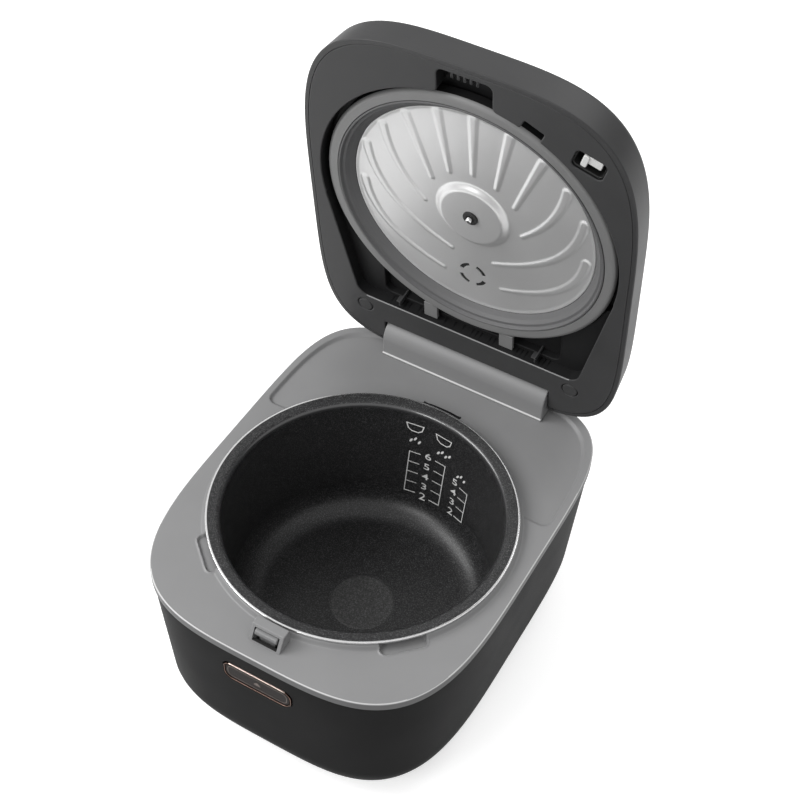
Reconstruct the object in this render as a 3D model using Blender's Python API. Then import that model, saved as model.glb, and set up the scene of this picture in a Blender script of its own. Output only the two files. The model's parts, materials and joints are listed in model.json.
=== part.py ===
"""Electric rice cooker with a hinged lid, drawn open: one closed solid for each real piece.

Sizes below are millimetres. Body pieces are drawn about the pot's axis with z = 0 at the top of
the pot's rim. Lid pieces are drawn in the same way with the lid shut, and the lid_pivot empty
then swings them open about the hinge.
"""

from math import acos, cos, pi, radians, sin

import bmesh
import bpy

MM = 0.001
GAP = 0.3  # between pieces that rest on each other

# Casing outline: a superellipse, blunter at the back
HALF_WIDTH = 123.0
FRONT = 138.8
REAR = 168.0
POWER_FRONT = 3.64
POWER_REAR = 5.1

# Heights, from the pot's rim
DECK_TOP = -6.0
DECK_BASE = -11.6
SHELL_BASE = -146.0
FOOT_HEIGHT = 5.0
FLOOR = SHELL_BASE - FOOT_HEIGHT
POT_AXIS_Y = -20.1  # puts the middle of the whole open cooker over the origin

# Outer shell
SHELL_TOP = DECK_BASE - GAP
SHELL_LIP = 0.8
SHELL_TAPER = 6.0
SHELL_ROUND = 36.0
SHELL_WALL = 2.5
ROUND_CENTRE = SHELL_BASE + SHELL_ROUND
BASE_INSET = SHELL_TAPER + SHELL_ROUND
BASE_THICKNESS = 2.8

# Pot, and the collar that it stands on
RIM_RADIUS = 110.0
POT_RADIUS = 101.0
POT_WALL = 2.2
POT_BASE = -116.0
POT_ROUND = 26.0
FLANGE = 2.0
WELL_RADIUS = 104.2
COLLAR_TOP = -FLANGE - GAP
COLLAR_RADIUS = 109.4
BASIN_DEPTH = 2.5
BASIN_FRONT = 25.0  # degrees round from +X
POCKET_ANGLES = (-131.5, -48.5, 90.0)

# Hinge and lid
HINGE_Y = 159.7
HINGE_Z = 6.3
OPEN_ANGLE = 82.8
BARREL = 15.4
BARREL_HALF = 68.3
PIN_RADIUS = 2.5
NOTCH_HALF = 69.3
NOTCH_FRONT = 142.5
FACE = -3.0
OPENING = 111.5
LID_EDGE = 21.0
LID_TOP = 28.5
LID_WALL = 2.4
BACKING = (12.5, 14.5)
STEAM_Y = 62.0
RECESS_WALL = 1.4
TAB_CENTRE = (85.0, -97.0)
TAB_TURN = radians(15.0)

# Latch, seen from the front
LATCH_HALF = 11.6
LATCH_FRONT = -126.7
LATCH_BACK = -114.7
LATCH_TOP = 5.7
LEVER_Y = -121.0
LEVER_PIVOT_Z = -100.0
ROLLER = 2.8
ROLLER_Z = 0.3
BUTTON_Z = -38.0
BUTTON_SIZE = (53.4, 18.4)
BUTTON_Y = -137.6

# Round pieces and outlines are drawn with this many points
SIDES = 40
OUTLINE_POINTS = 60

# name: (colour, roughness, metallic)
FINISHES = {
    "black_casing": ((0.022, 0.022, 0.023), 0.55, 0.0),
    "grey_plastic": ((0.33, 0.33, 0.34), 0.45, 0.0),
    "dark_grey_plastic": ((0.075, 0.075, 0.078), 0.5, 0.0),
    "light_grey_plastic": ((0.42, 0.42, 0.42), 0.5, 0.0),
    "white_plastic": ((0.85, 0.85, 0.84), 0.4, 0.0),
    "black_rubber": ((0.02, 0.02, 0.02), 0.8, 0.0),
    "grey_silicone": ((0.25, 0.25, 0.25), 0.65, 0.0),
    "stainless": ((0.72, 0.72, 0.72), 0.25, 1.0),
    "aluminium": ((0.75, 0.75, 0.76), 0.4, 1.0),
    "steel": ((0.55, 0.55, 0.56), 0.35, 1.0),
    "non_stick": ((0.02, 0.02, 0.021), 0.4, 0.2),
    "rose_gold": ((0.66, 0.42, 0.33), 0.25, 1.0),
    "gloss_black": ((0.008, 0.008, 0.009), 0.08, 0.0),
    "display": ((0.02, 0.03, 0.035), 0.05, 0.0),
    "circuit_board": ((0.03, 0.16, 0.06), 0.6, 0.0),
    "component": ((0.1, 0.1, 0.35), 0.5, 0.0),
    "brass": ((0.7, 0.55, 0.25), 0.3, 1.0),
}


def clear_scene():
    for obj in list(bpy.data.objects):
        bpy.data.objects.remove(obj)


def finish(name):
    found = bpy.data.materials.get(name)
    if found:
        return found
    colour, roughness, metallic = FINISHES[name]
    made = bpy.data.materials.new(name)
    made.use_nodes = True
    shader = made.node_tree.nodes["Principled BSDF"]
    shader.inputs["Base Color"].default_value = (*colour, 1.0)
    shader.inputs["Roughness"].default_value = roughness
    shader.inputs["Metallic"].default_value = metallic
    made.diffuse_color = (*colour, 1.0)
    return made


def empty(name, place, parent=None, tilt=0.0):
    made = bpy.data.objects.new(name, None)
    bpy.context.scene.collection.objects.link(made)
    made.parent = parent
    made.location = [v * MM for v in place]
    made.rotation_euler.x = tilt
    return made


def piece(name, shape, colour, frame, place=(0.0, 0.0, 0.0), smooth=True):
    """A solid from (points, faces), whose origin is at place in its frame's drawing coordinates."""
    points, faces = shape
    drawn = frame["drawn_at"]
    mesh = bpy.data.meshes.new(name)
    mesh.from_pydata([[(p[i] - place[i]) * MM for i in range(3)] for p in points], [], faces)
    work = bmesh.new()
    work.from_mesh(mesh)
    bmesh.ops.recalc_face_normals(work, faces=work.faces)
    work.to_mesh(mesh)
    work.free()
    if smooth:
        mesh.shade_smooth()
        mesh.set_sharp_from_angle(angle=radians(35))
    made = bpy.data.objects.new(name, mesh)
    bpy.context.scene.collection.objects.link(made)
    made.parent = frame["empty"]
    made.location = [(place[i] - drawn[i]) * MM for i in range(3)]
    if colour:
        mesh.materials.append(finish(colour))
    return made


def combine(target, shape, frame, operation="DIFFERENCE"):
    """Cuts a shape from target, or joins it on, with a Boolean."""
    number = len(target.modifiers) + 1
    helper = piece(f"{target.name}_tool_{number}", shape, None, frame, smooth=False)
    helper.hide_render = True
    helper.display_type = "WIRE"
    modifier = target.modifiers.new(f"{operation.lower()}_{number}", "BOOLEAN")
    modifier.operation = operation
    modifier.object = helper


def outline_radius(angle, inset):
    """Distance from the pot's axis to the casing's outline, moved in by inset."""
    half_width = HALF_WIDTH - inset
    half_depth = (FRONT + REAR) / 2 - inset
    middle = (REAR - FRONT) / 2
    low = 0.0
    high = 300.0
    for _ in range(40):
        r = (low + high) / 2
        across = r * cos(angle)
        along = r * sin(angle) - middle
        power = POWER_FRONT if along < 0 else POWER_REAR
        inside = abs(across / half_width) ** power + abs(along / half_depth) ** power < 1
        if inside:
            low = r
        else:
            high = r
    return low


def outline(inset, z):
    angles = [2 * pi * i / OUTLINE_POINTS for i in range(OUTLINE_POINTS)]
    radii = [outline_radius(a, inset) for a in angles]
    return [(r * cos(a), r * sin(a), z) for r, a in zip(radii, angles)]


def circle(r, z, centre=(0.0, 0.0), count=OUTLINE_POINTS):
    angles = [2 * pi * i / count for i in range(count)]
    return [(centre[0] + r * cos(a), centre[1] + r * sin(a), z) for a in angles]


def loft(rings, closed=False):
    """Skins a row of rings. Open rows get flat ends, and a closed row joins its last to its first."""
    count = len(rings[0])
    points = [p for ring in rings for p in ring]
    faces = []
    spans = len(rings) if closed else len(rings) - 1
    for j in range(spans):
        here = j * count
        there = (j + 1) % len(rings) * count
        for i in range(count):
            k = (i + 1) % count
            faces.append((here + i, here + k, there + k, there + i))
    if not closed:
        faces.append(tuple(range(count))[::-1])
        faces.append(tuple(range(len(points) - count, len(points))))
    return points, faces


def turned(profile, centre=(0.0, 0.0), closed=False, count=SIDES):
    """A round solid about a vertical axis from (radius, z) pairs."""
    return loft([circle(r, z, centre, count) for r, z in profile], closed)


def rod_x(x0, x1, y, z, r, count=16):
    """A round bar along X."""
    rings = []
    for x in (x0, x1):
        turn = [2 * pi * i / count for i in range(count)]
        rings.append([(x, y + r * cos(a), z + r * sin(a)) for a in turn])
    return loft(rings)


def extrude(profile, low, high, axis):
    """Extrudes an outline along x (from y, z pairs), y (from x, z pairs) or z (from x, y pairs)."""
    order = {"x": lambda u, v, w: (w, u, v), "y": lambda u, v, w: (u, w, v)}
    place = order.get(axis, lambda u, v, w: (u, v, w))
    return loft([[place(u, v, w) for u, v in profile] for w in (low, high)])


def box(x, y, z):
    """A box from (low, high) pairs."""
    return extrude([(x[0], y[0]), (x[1], y[0]), (x[1], y[1]), (x[0], y[1])], z[0], z[1], "z")


def rounded(width, height, radius, centre=(0.0, 0.0), steps=4, turn=0.0):
    """Points round a rectangle with round corners."""
    points = []
    for corner in range(4):
        side = corner * pi / 2
        cx = (width / 2 - radius) * (1 if corner in (0, 3) else -1)
        cy = (height / 2 - radius) * (1 if corner in (0, 1) else -1)
        for i in range(steps + 1):
            a = side + pi / 2 * i / steps
            u = cx + radius * cos(a)
            v = cy + radius * sin(a)
            spun = (u * cos(turn) - v * sin(turn), u * sin(turn) + v * cos(turn))
            points.append((centre[0] + spun[0], centre[1] + spun[1]))
    return points


def together(*shapes):
    """Several shapes that don't touch, as one Boolean tool."""
    points = []
    faces = []
    for shape_points, shape_faces in shapes:
        start = len(points)
        points += shape_points
        faces += [tuple(start + i for i in face) for face in shape_faces]
    return points, faces


def wire(name, route, radius, colour, frame, sides=4):
    """A bent rod: a curve with a round bevel."""
    drawn = frame["drawn_at"]
    curve = bpy.data.curves.new(name, "CURVE")
    curve.dimensions = "3D"
    curve.bevel_depth = radius * MM
    curve.bevel_resolution = (sides - 4) // 2
    curve.use_fill_caps = True
    spline = curve.splines.new("POLY")
    spline.points.add(len(route) - 1)
    for point, place in zip(spline.points, route):
        point.co = [(place[i] - drawn[i]) * MM for i in range(3)] + [1.0]
    curve.materials.append(finish(colour))
    made = bpy.data.objects.new(name, curve)
    bpy.context.scene.collection.objects.link(made)
    made.parent = frame["empty"]
    return made


def coil(radius, length, turns, axis, start, steps=8):
    """Points along a coil spring that runs from start along x or z."""
    route = []
    for i in range(turns * steps + 1):
        a = 2 * pi * i / steps
        along = length * i / (turns * steps)
        u = radius * cos(a)
        v = radius * sin(a)
        step = (along, u, v) if axis == "x" else (u, v, along)
        route.append(tuple(start[k] + step[k] for k in range(3)))
    return route


def shell_inset(z):
    """How far the shell's outside has drawn in at height z, on its straight wall."""
    share = (SHELL_TOP - z) / (SHELL_TOP - ROUND_CENTRE)
    return SHELL_LIP + (SHELL_TAPER - SHELL_LIP) * share


def outer_shell(body):
    rings = []
    arc = [radians(a) for a in (22.5, 45.0, 67.5, 90.0)]
    for z in (SHELL_TOP, ROUND_CENTRE):
        rings.append(outline(shell_inset(z), z))
    for a in arc:
        rings.append(outline(BASE_INSET - SHELL_ROUND * cos(a), ROUND_CENTRE - SHELL_ROUND * sin(a)))
    inner = SHELL_ROUND - SHELL_WALL
    for a in reversed(arc):
        rings.append(outline(BASE_INSET - inner * cos(a), ROUND_CENTRE - inner * sin(a)))
    for z in (ROUND_CENTRE, SHELL_TOP):
        rings.append(outline(shell_inset(z) + SHELL_WALL, z))
    shell = piece("outer_shell", loft(rings, closed=True), "black_casing", body)
    window = rounded(BUTTON_SIZE[0] + 1.2, BUTTON_SIZE[1] + 1.2, 6.6, (0.0, BUTTON_Z))
    combine(shell, extrude(window, -150.0, -125.0, "y"), body)
    combine(shell, box((-15.5, 15.5), (150.0, 175.0), (-112.5, -87.5)), body)


def top_deck(body):
    rings = [
        outline(0.4, DECK_BASE),
        outline(0.0, DECK_BASE + 0.8),
        outline(0.0, DECK_TOP - 0.9),
        outline(0.9, DECK_TOP),
        circle(COLLAR_RADIUS + 1.4, DECK_TOP),
        circle(COLLAR_RADIUS, COLLAR_TOP),
        circle(WELL_RADIUS, COLLAR_TOP),
        circle(WELL_RADIUS, DECK_BASE),
    ]
    deck = piece("top_deck", loft(rings, closed=True), "grey_plastic", body)
    combine(deck, basin(), body)
    pockets = [pocket(angle) for angle in POCKET_ANGLES]
    combine(deck, together(*pockets), body)
    combine(deck, box((-8.0, 8.0), (-123.8, -116.4), (-15.0, -2.0)), body)
    seat_x = (-BARREL_HALF - GAP, BARREL_HALF + GAP)
    seat_y = (HINGE_Y - BARREL - GAP, REAR + 5.0)
    combine(deck, box(seat_x, seat_y, (DECK_TOP - BASIN_DEPTH, 0.0)), body)


def basin():
    """The shallow tray behind the pot that catches drips when the lid opens."""
    steps = 26
    sweep = [radians(BASIN_FRONT + (180 - 2 * BASIN_FRONT) * i / steps) for i in range(steps + 1)]
    outer = [(outline_radius(a, 6.0), a) for a in sweep]
    inner = [(COLLAR_RADIUS + 2.2, a) for a in reversed(sweep)]
    points = [(r * cos(a), r * sin(a)) for r, a in outer + inner]
    return extrude(points, DECK_TOP - BASIN_DEPTH, 0.0, "z")


def pocket(angle):
    """A finger pocket in the collar, under the pot's rim."""
    a = radians(angle)
    r = 111.0
    turned_outline = rounded(11.0, 31.0, 4.0, (r * cos(a), r * sin(a)), 3, a)
    return extrude(turned_outline, DECK_TOP - 1.6, 0.0, "z")


def latch_housing(body):
    low = DECK_TOP + GAP
    side = [(LATCH_FRONT, low), (LATCH_BACK, low), (LATCH_BACK, LATCH_TOP), (-120.5, LATCH_TOP)]
    housing = piece("latch_housing", extrude(side, -LATCH_HALF, LATCH_HALF, "x"), "grey_plastic", body)
    hollow = box((-9.6, 9.6), (-135.0, -115.9), (-12.0, LATCH_TOP - 1.3))
    combine(housing, hollow, body)


def latch(body):
    """The lever that holds the lid's catch, its bracket, its pin and its spring."""
    y0 = LEVER_Y - 1.4
    y1 = LEVER_Y + 1.4
    place = (0.0, LEVER_Y, LEVER_PIVOT_Z)
    shape = box((-6.0, 6.0), (y0, y1), (LEVER_PIVOT_Z, ROLLER_Z))
    lever = piece("latch_lever", shape, "dark_grey_plastic", body, place, smooth=False)
    combine(lever, rod_x(-8.6, 8.6, LEVER_Y - 0.6, ROLLER_Z, ROLLER), body, "UNION")
    combine(lever, rod_x(-6.0, 6.0, LEVER_Y, LEVER_PIVOT_Z, 4.0), body, "UNION")
    combine(lever, rod_x(-9.0, 9.0, LEVER_Y, LEVER_PIVOT_Z, 1.8), body)
    cheeks = box((-9.6, 9.6), (-130.2, -116.4), (LEVER_PIVOT_Z - 6.0, LEVER_PIVOT_Z + 6.0))
    bracket = piece("latch_bracket", cheeks, "steel", body, smooth=False)
    combine(bracket, box((-8.0, 8.0), (-128.4, -110.0), (-120.0, -80.0)), body)
    combine(bracket, rod_x(-12.0, 12.0, LEVER_Y, LEVER_PIVOT_Z, 1.8), body)
    pin = rod_x(-11.5, 11.5, LEVER_Y, LEVER_PIVOT_Z, 1.5, 12)
    piece("latch_pivot_pin", pin, "steel", body)
    start = (-7.6, LEVER_Y, LEVER_PIVOT_Z)
    wire("latch_spring", coil(2.6, 1.2, 1, "x", start, 12), 0.25, "steel", body)


def open_button(body):
    width, height = BUTTON_SIZE
    face = rounded(width - 2.6, height - 2.6, 5.0, (0.0, BUTTON_Z))
    cap = extrude(face, BUTTON_Y + 0.3, BUTTON_Y + 5.0, "y")
    place = (0.0, BUTTON_Y, BUTTON_Z)
    button = piece("open_button", cap, "gloss_black", body, place)
    stem = box((-4.0, 4.0), (BUTTON_Y + 4.0, LEVER_Y - 1.8), (BUTTON_Z - 3.0, BUTTON_Z + 3.0))
    combine(button, stem, body, "UNION")
    rings = []
    for y, grow in ((BUTTON_Y, 0.0), (BUTTON_Y + 3.5, 0.0), (BUTTON_Y + 3.5, -2.0), (BUTTON_Y, -2.0)):
        points = rounded(width + grow, height + grow, 6.2 + grow / 2, (0.0, BUTTON_Z))
        rings.append([(x, y, z) for x, z in points])
    piece("button_trim", loft(rings, closed=True), "rose_gold", body, place)


def base(body):
    low = SHELL_BASE
    high = SHELL_BASE + BASE_THICKNESS
    disc = loft([outline(BASE_INSET + GAP, z) for z in (low, high)])
    plate = piece("base_plate", disc, "black_casing", body)
    rows = (-40, -28, -16, 44, 56, 68)
    slots = [box((-30.0, 30.0), (y - 1.5, y + 1.5), (low - 5, high + 5)) for y in rows]
    combine(plate, together(*slots), body)
    screws = [turned([(3.6, low - 5), (3.6, high + 5)], place, count=16) for place in screw_places()]
    combine(plate, together(*screws), body)
    for i, place in enumerate(screw_places()):
        profile = [(3.2, low + 0.3), (3.2, low + 2.4), (1.6, low + 2.6), (1.6, low + 11.0)]
        piece(f"base_screw_{i + 1}", turned(profile, place, count=12), "steel", body)
    names = ("rear_right", "rear_left", "front_left", "front_right")
    places = ((60, 98), (-60, 98), (-60, -68), (60, -68))
    for name, place in zip(names, places):
        profile = [(8.4, FLOOR), (9.0, FLOOR + 0.6), (10.0, low - GAP)]
        piece(f"foot_{name}", turned(profile, place, count=24), "black_rubber", body)


def screw_places():
    return [(66.0, 60.0), (-66.0, 60.0), (-66.0, -34.0), (66.0, -34.0)]


def pot(body):
    """The lift-out pot: a deep cup with a round lower corner and a turned-out rim."""
    corner = POT_RADIUS - POT_ROUND
    corner_z = POT_BASE + POT_ROUND
    arc = [radians(a) for a in (-90, -67.5, -45, -22.5, 0)]
    outer = [(corner + POT_ROUND * cos(a), corner_z + POT_ROUND * sin(a)) for a in arc]
    inner_round = POT_ROUND - POT_WALL
    inner = [(corner + inner_round * cos(a), corner_z + inner_round * sin(a)) for a in reversed(arc)]
    profile = outer + [
        (POT_RADIUS, -FLANGE),
        (RIM_RADIUS - 0.5, -FLANGE),
        (RIM_RADIUS, -FLANGE + 0.6),
        (RIM_RADIUS, -0.5),
        (RIM_RADIUS - 0.7, 0.0),
        (103.5, -0.4),
        (100.4, -1.8),
        (POT_RADIUS - POT_WALL, -5.5),
    ]
    profile += inner + [(20.0, POT_BASE + POT_WALL), (19.0, POT_BASE + POT_WALL + 1.3)]
    piece("inner_pot", turned(profile), "non_stick", body)


def heating(body):
    """The well round the pot, the hot plate under it, and the sensor in the plate's middle."""
    flange = SHELL_TOP - 1.2
    liner = [(111.5, SHELL_TOP), (111.5, flange), (105.0, flange), (105.0, -132.2), (28.0, -132.2)]
    liner += [(28.0, -131.0), (103.8, -131.0), (103.8, SHELL_TOP)]
    piece("inner_liner", turned(liner, closed=True, count=40), "steel", body)
    high = POT_BASE - GAP
    plate = [(88.0, high - 1.0), (86.5, high), (19.0, high)]
    plate += [(19.0, high - 8.0), (84.0, high - 8.0), (88.0, high - 4.0)]
    piece("heating_plate", turned(plate, closed=True, count=40), "aluminium", body)
    sweep = [radians(-60 + 300 * i / 24) for i in range(25)]
    route = [(62 * cos(a), 62 * sin(a), -127.7) for a in sweep]
    wire("heating_element", route, 2.9, "steel", body, 6)
    for i in range(3):
        a = radians(90 + 120 * i)
        place = (74 * cos(a), 74 * sin(a))
        profile = [(4.0, -130.7), (4.0, high - 8.3)]
        piece(f"plate_support_{i + 1}", turned(profile, place, count=16), "steel", body)
    sensor = [(6.0, -139.0), (6.0, -124.5), (15.5, -124.5), (16.0, -118.0), (14.5, high)]
    piece("thermal_sensor", turned(sensor, count=32), "aluminium", body, (0.0, 0.0, high))
    spring = coil(9.5, 16.0, 4, "z", (0.0, 0.0, -142.0))
    wire("sensor_spring", spring, 0.7, "steel", body)
    fuse = rod_x(-12.0, 12.0, -40.0, -127.8, 2.6, 12)
    piece("thermal_fuse", fuse, "component", body)


def electrics(body):
    y0 = 130.0
    piece("power_board", box((-48, 48), (y0, y0 + 1.6), (-112, -42)), "circuit_board", body, smooth=False)
    piece("power_relay", box((-40, -21), (118.5, y0 - GAP), (-75, -50)), "component", body, smooth=False)
    piece("transformer", box((12, 40), (117.0, y0 - GAP), (-84, -56)), "component", body, smooth=False)
    can = [(6.0, -100.0), (6.5, -99.5), (6.5, -81.0), (6.0, -80.5)]
    piece("capacitor", turned(can, (-10.0, 122.8), count=20), "component", body)
    housing = box((-14.8, 14.8), (139.0, 163.3), (-111.8, -88.2))
    inlet = piece("power_inlet", housing, "black_casing", body, smooth=False)
    combine(inlet, box((-12.4, 12.4), (146.0, 170.0), (-108.5, -91.5)), body)
    for name, x, z in (("live", -7.0, -102.6), ("neutral", 7.0, -102.6), ("earth", 0.0, -98.6)):
        pin = box((x - 1.0, x + 1.0), (146.0 + GAP, 160.0), (z - 2.0, z + 2.0))
        piece(f"inlet_pin_{name}", pin, "brass", body, smooth=False)


def hinge(body):
    """The barrel on the body, with its pin and the two springs that raise the lid."""
    floor = DECK_TOP - BASIN_DEPTH + GAP
    piece_side = barrel_side(BARREL, floor, REAR - 1.5)
    cover = piece("hinge_cover", extrude(piece_side, -BARREL_HALF, BARREL_HALF, "x"), "grey_plastic", body)
    hollow = barrel_side(BARREL - 2.4, floor - 5.0, REAR - 3.1)
    combine(cover, extrude(hollow, -BARREL_HALF + 2.4, BARREL_HALF - 2.4, "x"), body)
    combine(cover, rod_x(-90, 90, HINGE_Y, HINGE_Z, PIN_RADIUS + GAP), body)
    pin = rod_x(-72.4, 72.4, HINGE_Y, HINGE_Z, PIN_RADIUS)
    piece("hinge_pin", pin, "steel", body, (0.0, HINGE_Y, HINGE_Z))
    for name, x in (("left", -62.0), ("right", 30.0)):
        start = (x, HINGE_Y, HINGE_Z)
        wire(f"hinge_spring_{name}", coil(3.9, 32.0, 6, "x", start), 0.8, "steel", body)


def barrel_side(radius, floor, back):
    """The barrel from the side: an upright front, a round top, and a flat back."""
    reach = acos((back - HINGE_Y) / radius)
    steps = 12
    turn = [pi - (pi - reach) * i / steps for i in range(steps + 1)]
    arc = [(HINGE_Y + radius * cos(a), HINGE_Z + radius * sin(a)) for a in turn]
    return [(HINGE_Y - radius, floor)] + arc + [(back, floor)]


def lid_cover(lid):
    """The lid's outer shell, in which the control panel and the steam cap sit."""
    outer = [(0.0, FACE + 0.6), (1.2, 10.0), (2.4, LID_EDGE), (4.0, 23.6)]
    outer += [(8.5, 25.6), (22.0, 27.4), (40.0, LID_TOP)]
    inner = [(LID_WALL, FACE + 0.6), (4.8, LID_EDGE - 1.0), (9.5, 23.1), (40.0, LID_TOP - LID_WALL)]
    rings = [outline(inset, z) for inset, z in reversed(outer)]
    rings += [outline(inset, z) for inset, z in inner]
    cover = piece("lid_outer_cover", loft(rings), "black_casing", lid)
    combine(cover, hinge_notch(LID_TOP + 5.0), lid)
    ear_rooms = [box(sorted((side * 69.0, side * 74.2)), (150.0, 163.2), (-10.0, 12.6)) for side in (1, -1)]
    combine(cover, together(*ear_rooms), lid)
    combine(cover, extrude(rounded(105.2, 83.2, 8.6, (0.0, -50.0)), LID_TOP - 0.9, 40.0, "z"), lid)
    combine(cover, turned([(13.0, 10.0), (13.0, 40.0)], (0.0, STEAM_Y)), lid)


def hinge_notch(top):
    """The room that the lid leaves round the hinge barrel."""
    radius = BARREL + 0.9
    back = REAR - 4.5
    turn = [radians(90 + 90 * i / 6) for i in range(7)]
    arc = [(HINGE_Y + radius * cos(a), HINGE_Z + radius * sin(a)) for a in turn]
    roof = [(back, HINGE_Z + radius), (back, top), (200.0, top), (200.0, -30.0)]
    side = roof + [(NOTCH_FRONT, -30.0), (NOTCH_FRONT, HINGE_Z)] + list(reversed(arc))
    return extrude(side, -NOTCH_HALF, NOTCH_HALF, "x")


def lid_frame(lid):
    """The lid's inner face, with the round opening for the inner lid."""
    rings = [
        outline(3.7, 5.0),
        outline(3.7, FACE + 0.6),
        outline(4.3, FACE),
        circle(OPENING + 0.7, FACE),
        circle(OPENING, FACE + 0.7),
        circle(OPENING, 9.4),
        circle(OPENING + 2.0, 9.4),
        circle(OPENING + 2.0, FACE + 2.2),
        outline(5.7, FACE + 2.2),
        outline(5.7, 5.0),
    ]
    frame = piece("lid_frame", loft(rings, closed=True), "dark_grey_plastic", lid)
    for side in (1, -1):
        ear = box(sorted((side * 70.0, side * 73.4)), (153.5, 162.8), (FACE + 1.0, 12.0))
        combine(frame, ear, lid, "UNION")
    combine(frame, hinge_notch(30.0), lid)
    combine(frame, rod_x(-72.7, 72.7, HINGE_Y, HINGE_Z, PIN_RADIUS + GAP), lid)
    for recess in (rear_recess, latch_recess, tab_window):
        combine(frame, extrude(recess(RECESS_WALL), FACE + 1.0, 9.4, "z"), lid, "UNION")
    combine(frame, turned([(OPENING, -10.0), (OPENING, 12.0)], count=OUTLINE_POINTS), lid)
    for recess in (rear_recess, latch_recess, tab_window):
        combine(frame, extrude(recess(0.0), -10.0, 12.0, "z"), lid)
    caps = [turned([(6.4, -10.0), (6.4, 5.0)], place, count=20) for place in cap_places()]
    combine(frame, together(*caps), lid)


def cap_places():
    return [(85.5, 131.0), (-85.5, 131.0)]


def rear_recess(grow):
    """The recess behind the inner lid: its sides run on from the round opening."""
    corner = 8.0
    back = 119.3 + grow
    half = 89.6 + grow
    side = [(108.5 + grow, 24.0), (half, back - corner), (half - 2.4, back - 2.4), (half - corner, back)]
    return side + [(-x, y) for x, y in reversed(side)]


def latch_recess(grow):
    return rounded(38.0 + 2 * grow, 35.0 + 2 * grow, 4.5 + grow, (0.0, -114.0))


def tab_window(grow):
    """The window in the lid's face for the white release tab."""
    return rounded(22.0 + 2 * grow, 15.0 + 2 * grow, 3.5 + grow, TAB_CENTRE, 4, TAB_TURN)


def lid_insides(lid):
    """What fills the lid: its floor, heater, boards, duct, catch and small covers."""
    floor = piece("lid_backing_plate", loft([outline(5.6, z) for z in BACKING]), "dark_grey_plastic", lid)
    combine(floor, hinge_notch(30.0), lid)
    combine(floor, turned([(12.0, 5.0), (12.0, 20.0)], (0.0, STEAM_Y)), lid)
    heater = piece("lid_heater_plate", turned([(104.0, 10.4), (104.0, 11.6)], count=40), "aluminium", lid)
    combine(heater, turned([(12.0, 5.0), (12.0, 20.0)], (0.0, STEAM_Y)), lid)
    combine(heater, turned([(2.4, 5.0), (2.4, 20.0)], count=16), lid)
    duct = [(11.0, 10.4), (11.0, 25.4), (9.0, 25.4), (9.0, 10.4)]
    piece("steam_duct", turned(duct, (0.0, STEAM_Y), True, 32), "grey_silicone", lid)
    piece("control_board", box((-48, 48), (-88, -14), (17.0, 18.6)), "circuit_board", lid, smooth=False)
    panel = extrude(rounded(104.4, 82.4, 8.2, (0.0, -50.0)), LID_TOP - 0.6, LID_TOP + 0.6, "z")
    plate = piece("control_panel", panel, "gloss_black", lid)
    combine(plate, extrude(rounded(50.0, 26.0, 2.0, (0.0, -36.0)), 20.0, 40.0, "z"), lid)
    window = extrude(rounded(49.4, 25.4, 1.7, (0.0, -36.0)), LID_TOP - 0.6, LID_TOP + 0.4, "z")
    piece("display_window", window, "display", lid)
    side = [(-131.0, -4.6), (-123.2, -4.6), (-123.2, -3.4), (-129.4, -3.4), (-129.4, 12.2), (-131.0, 12.2)]
    piece("lid_catch", extrude(side, -8.0, 8.0, "x"), "dark_grey_plastic", lid, smooth=False)
    pin = [(1.5, 3.4), (1.7, 4.0), (1.7, 12.2)]
    piece("inner_lid_pin", turned(pin, count=16), "steel", lid)
    for name, place in zip(("right", "left"), cap_places()):
        profile = [(5.4, FACE - 0.2), (6.0, FACE + 0.3), (6.0, -0.9), (3.0, -0.6), (3.0, 8.0)]
        piece(f"screw_cap_{name}", turned(profile, place, count=20), "dark_grey_plastic", lid)


def inner_lid(lid):
    """The inner lid that pulls off for washing: carrier ring, seal, pressed plate and grommet."""
    carrier = [(109.4, 1.5), (108.4, 0.6), (106.4, 0.6), (106.4, 3.8)]
    carrier += [(98.5, 3.8), (92.3, 5.6), (92.3, 8.2), (109.4, 8.2)]
    ring = piece("seal_carrier", turned(carrier, closed=True), "light_grey_plastic", lid)
    for side in (1, -1):
        tab = box(sorted((side * 25.5, side * 36.5)), (100.0, 116.5), (4.6, 7.4))
        combine(ring, tab, lid, "UNION")
    gasket = [(106.0, 1.0), (104.5, 0.4), (101.0, 0.8), (99.0, 2.4), (99.0, 3.4), (106.0, 3.4)]
    piece("seal_gasket", turned(gasket, closed=True), "grey_silicone", lid)
    under = [(91.9, 6.2), (86.0, 6.4), (80.0, 7.4), (30.0, 8.6), (28.0, 8.4), (22.4, 5.7), (3.6, 5.7)]
    over = [(3.6, 6.7), (22.0, 6.7), (27.6, 9.4), (30.0, 9.6), (80.0, 8.4), (86.4, 7.4), (91.9, 7.2)]
    plate = piece("inner_lid_plate", turned(under + over, closed=True), "stainless", lid)
    slots = [steam_slot(45 + 90 * i) for i in range(4)]
    combine(plate, together(*slots), lid)
    grommet = [(5.4, 4.4), (5.4, 5.3), (3.2, 5.4), (3.2, 7.2), (2.1, 7.2), (2.1, 4.4)]
    piece("centre_grommet", turned(grommet, closed=True, count=24), "black_rubber", lid)


def steam_slot(angle):
    """One of the four curved slots that let steam into the duct."""
    sweep = [radians(angle - 28 + 56 * i / 4) for i in range(5)]
    points = [(10.5, a) for a in sweep] + [(8.0, a) for a in reversed(sweep)]
    return extrude([(r * cos(a), STEAM_Y + r * sin(a)) for r, a in points], 0.0, 15.0, "z")


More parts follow.
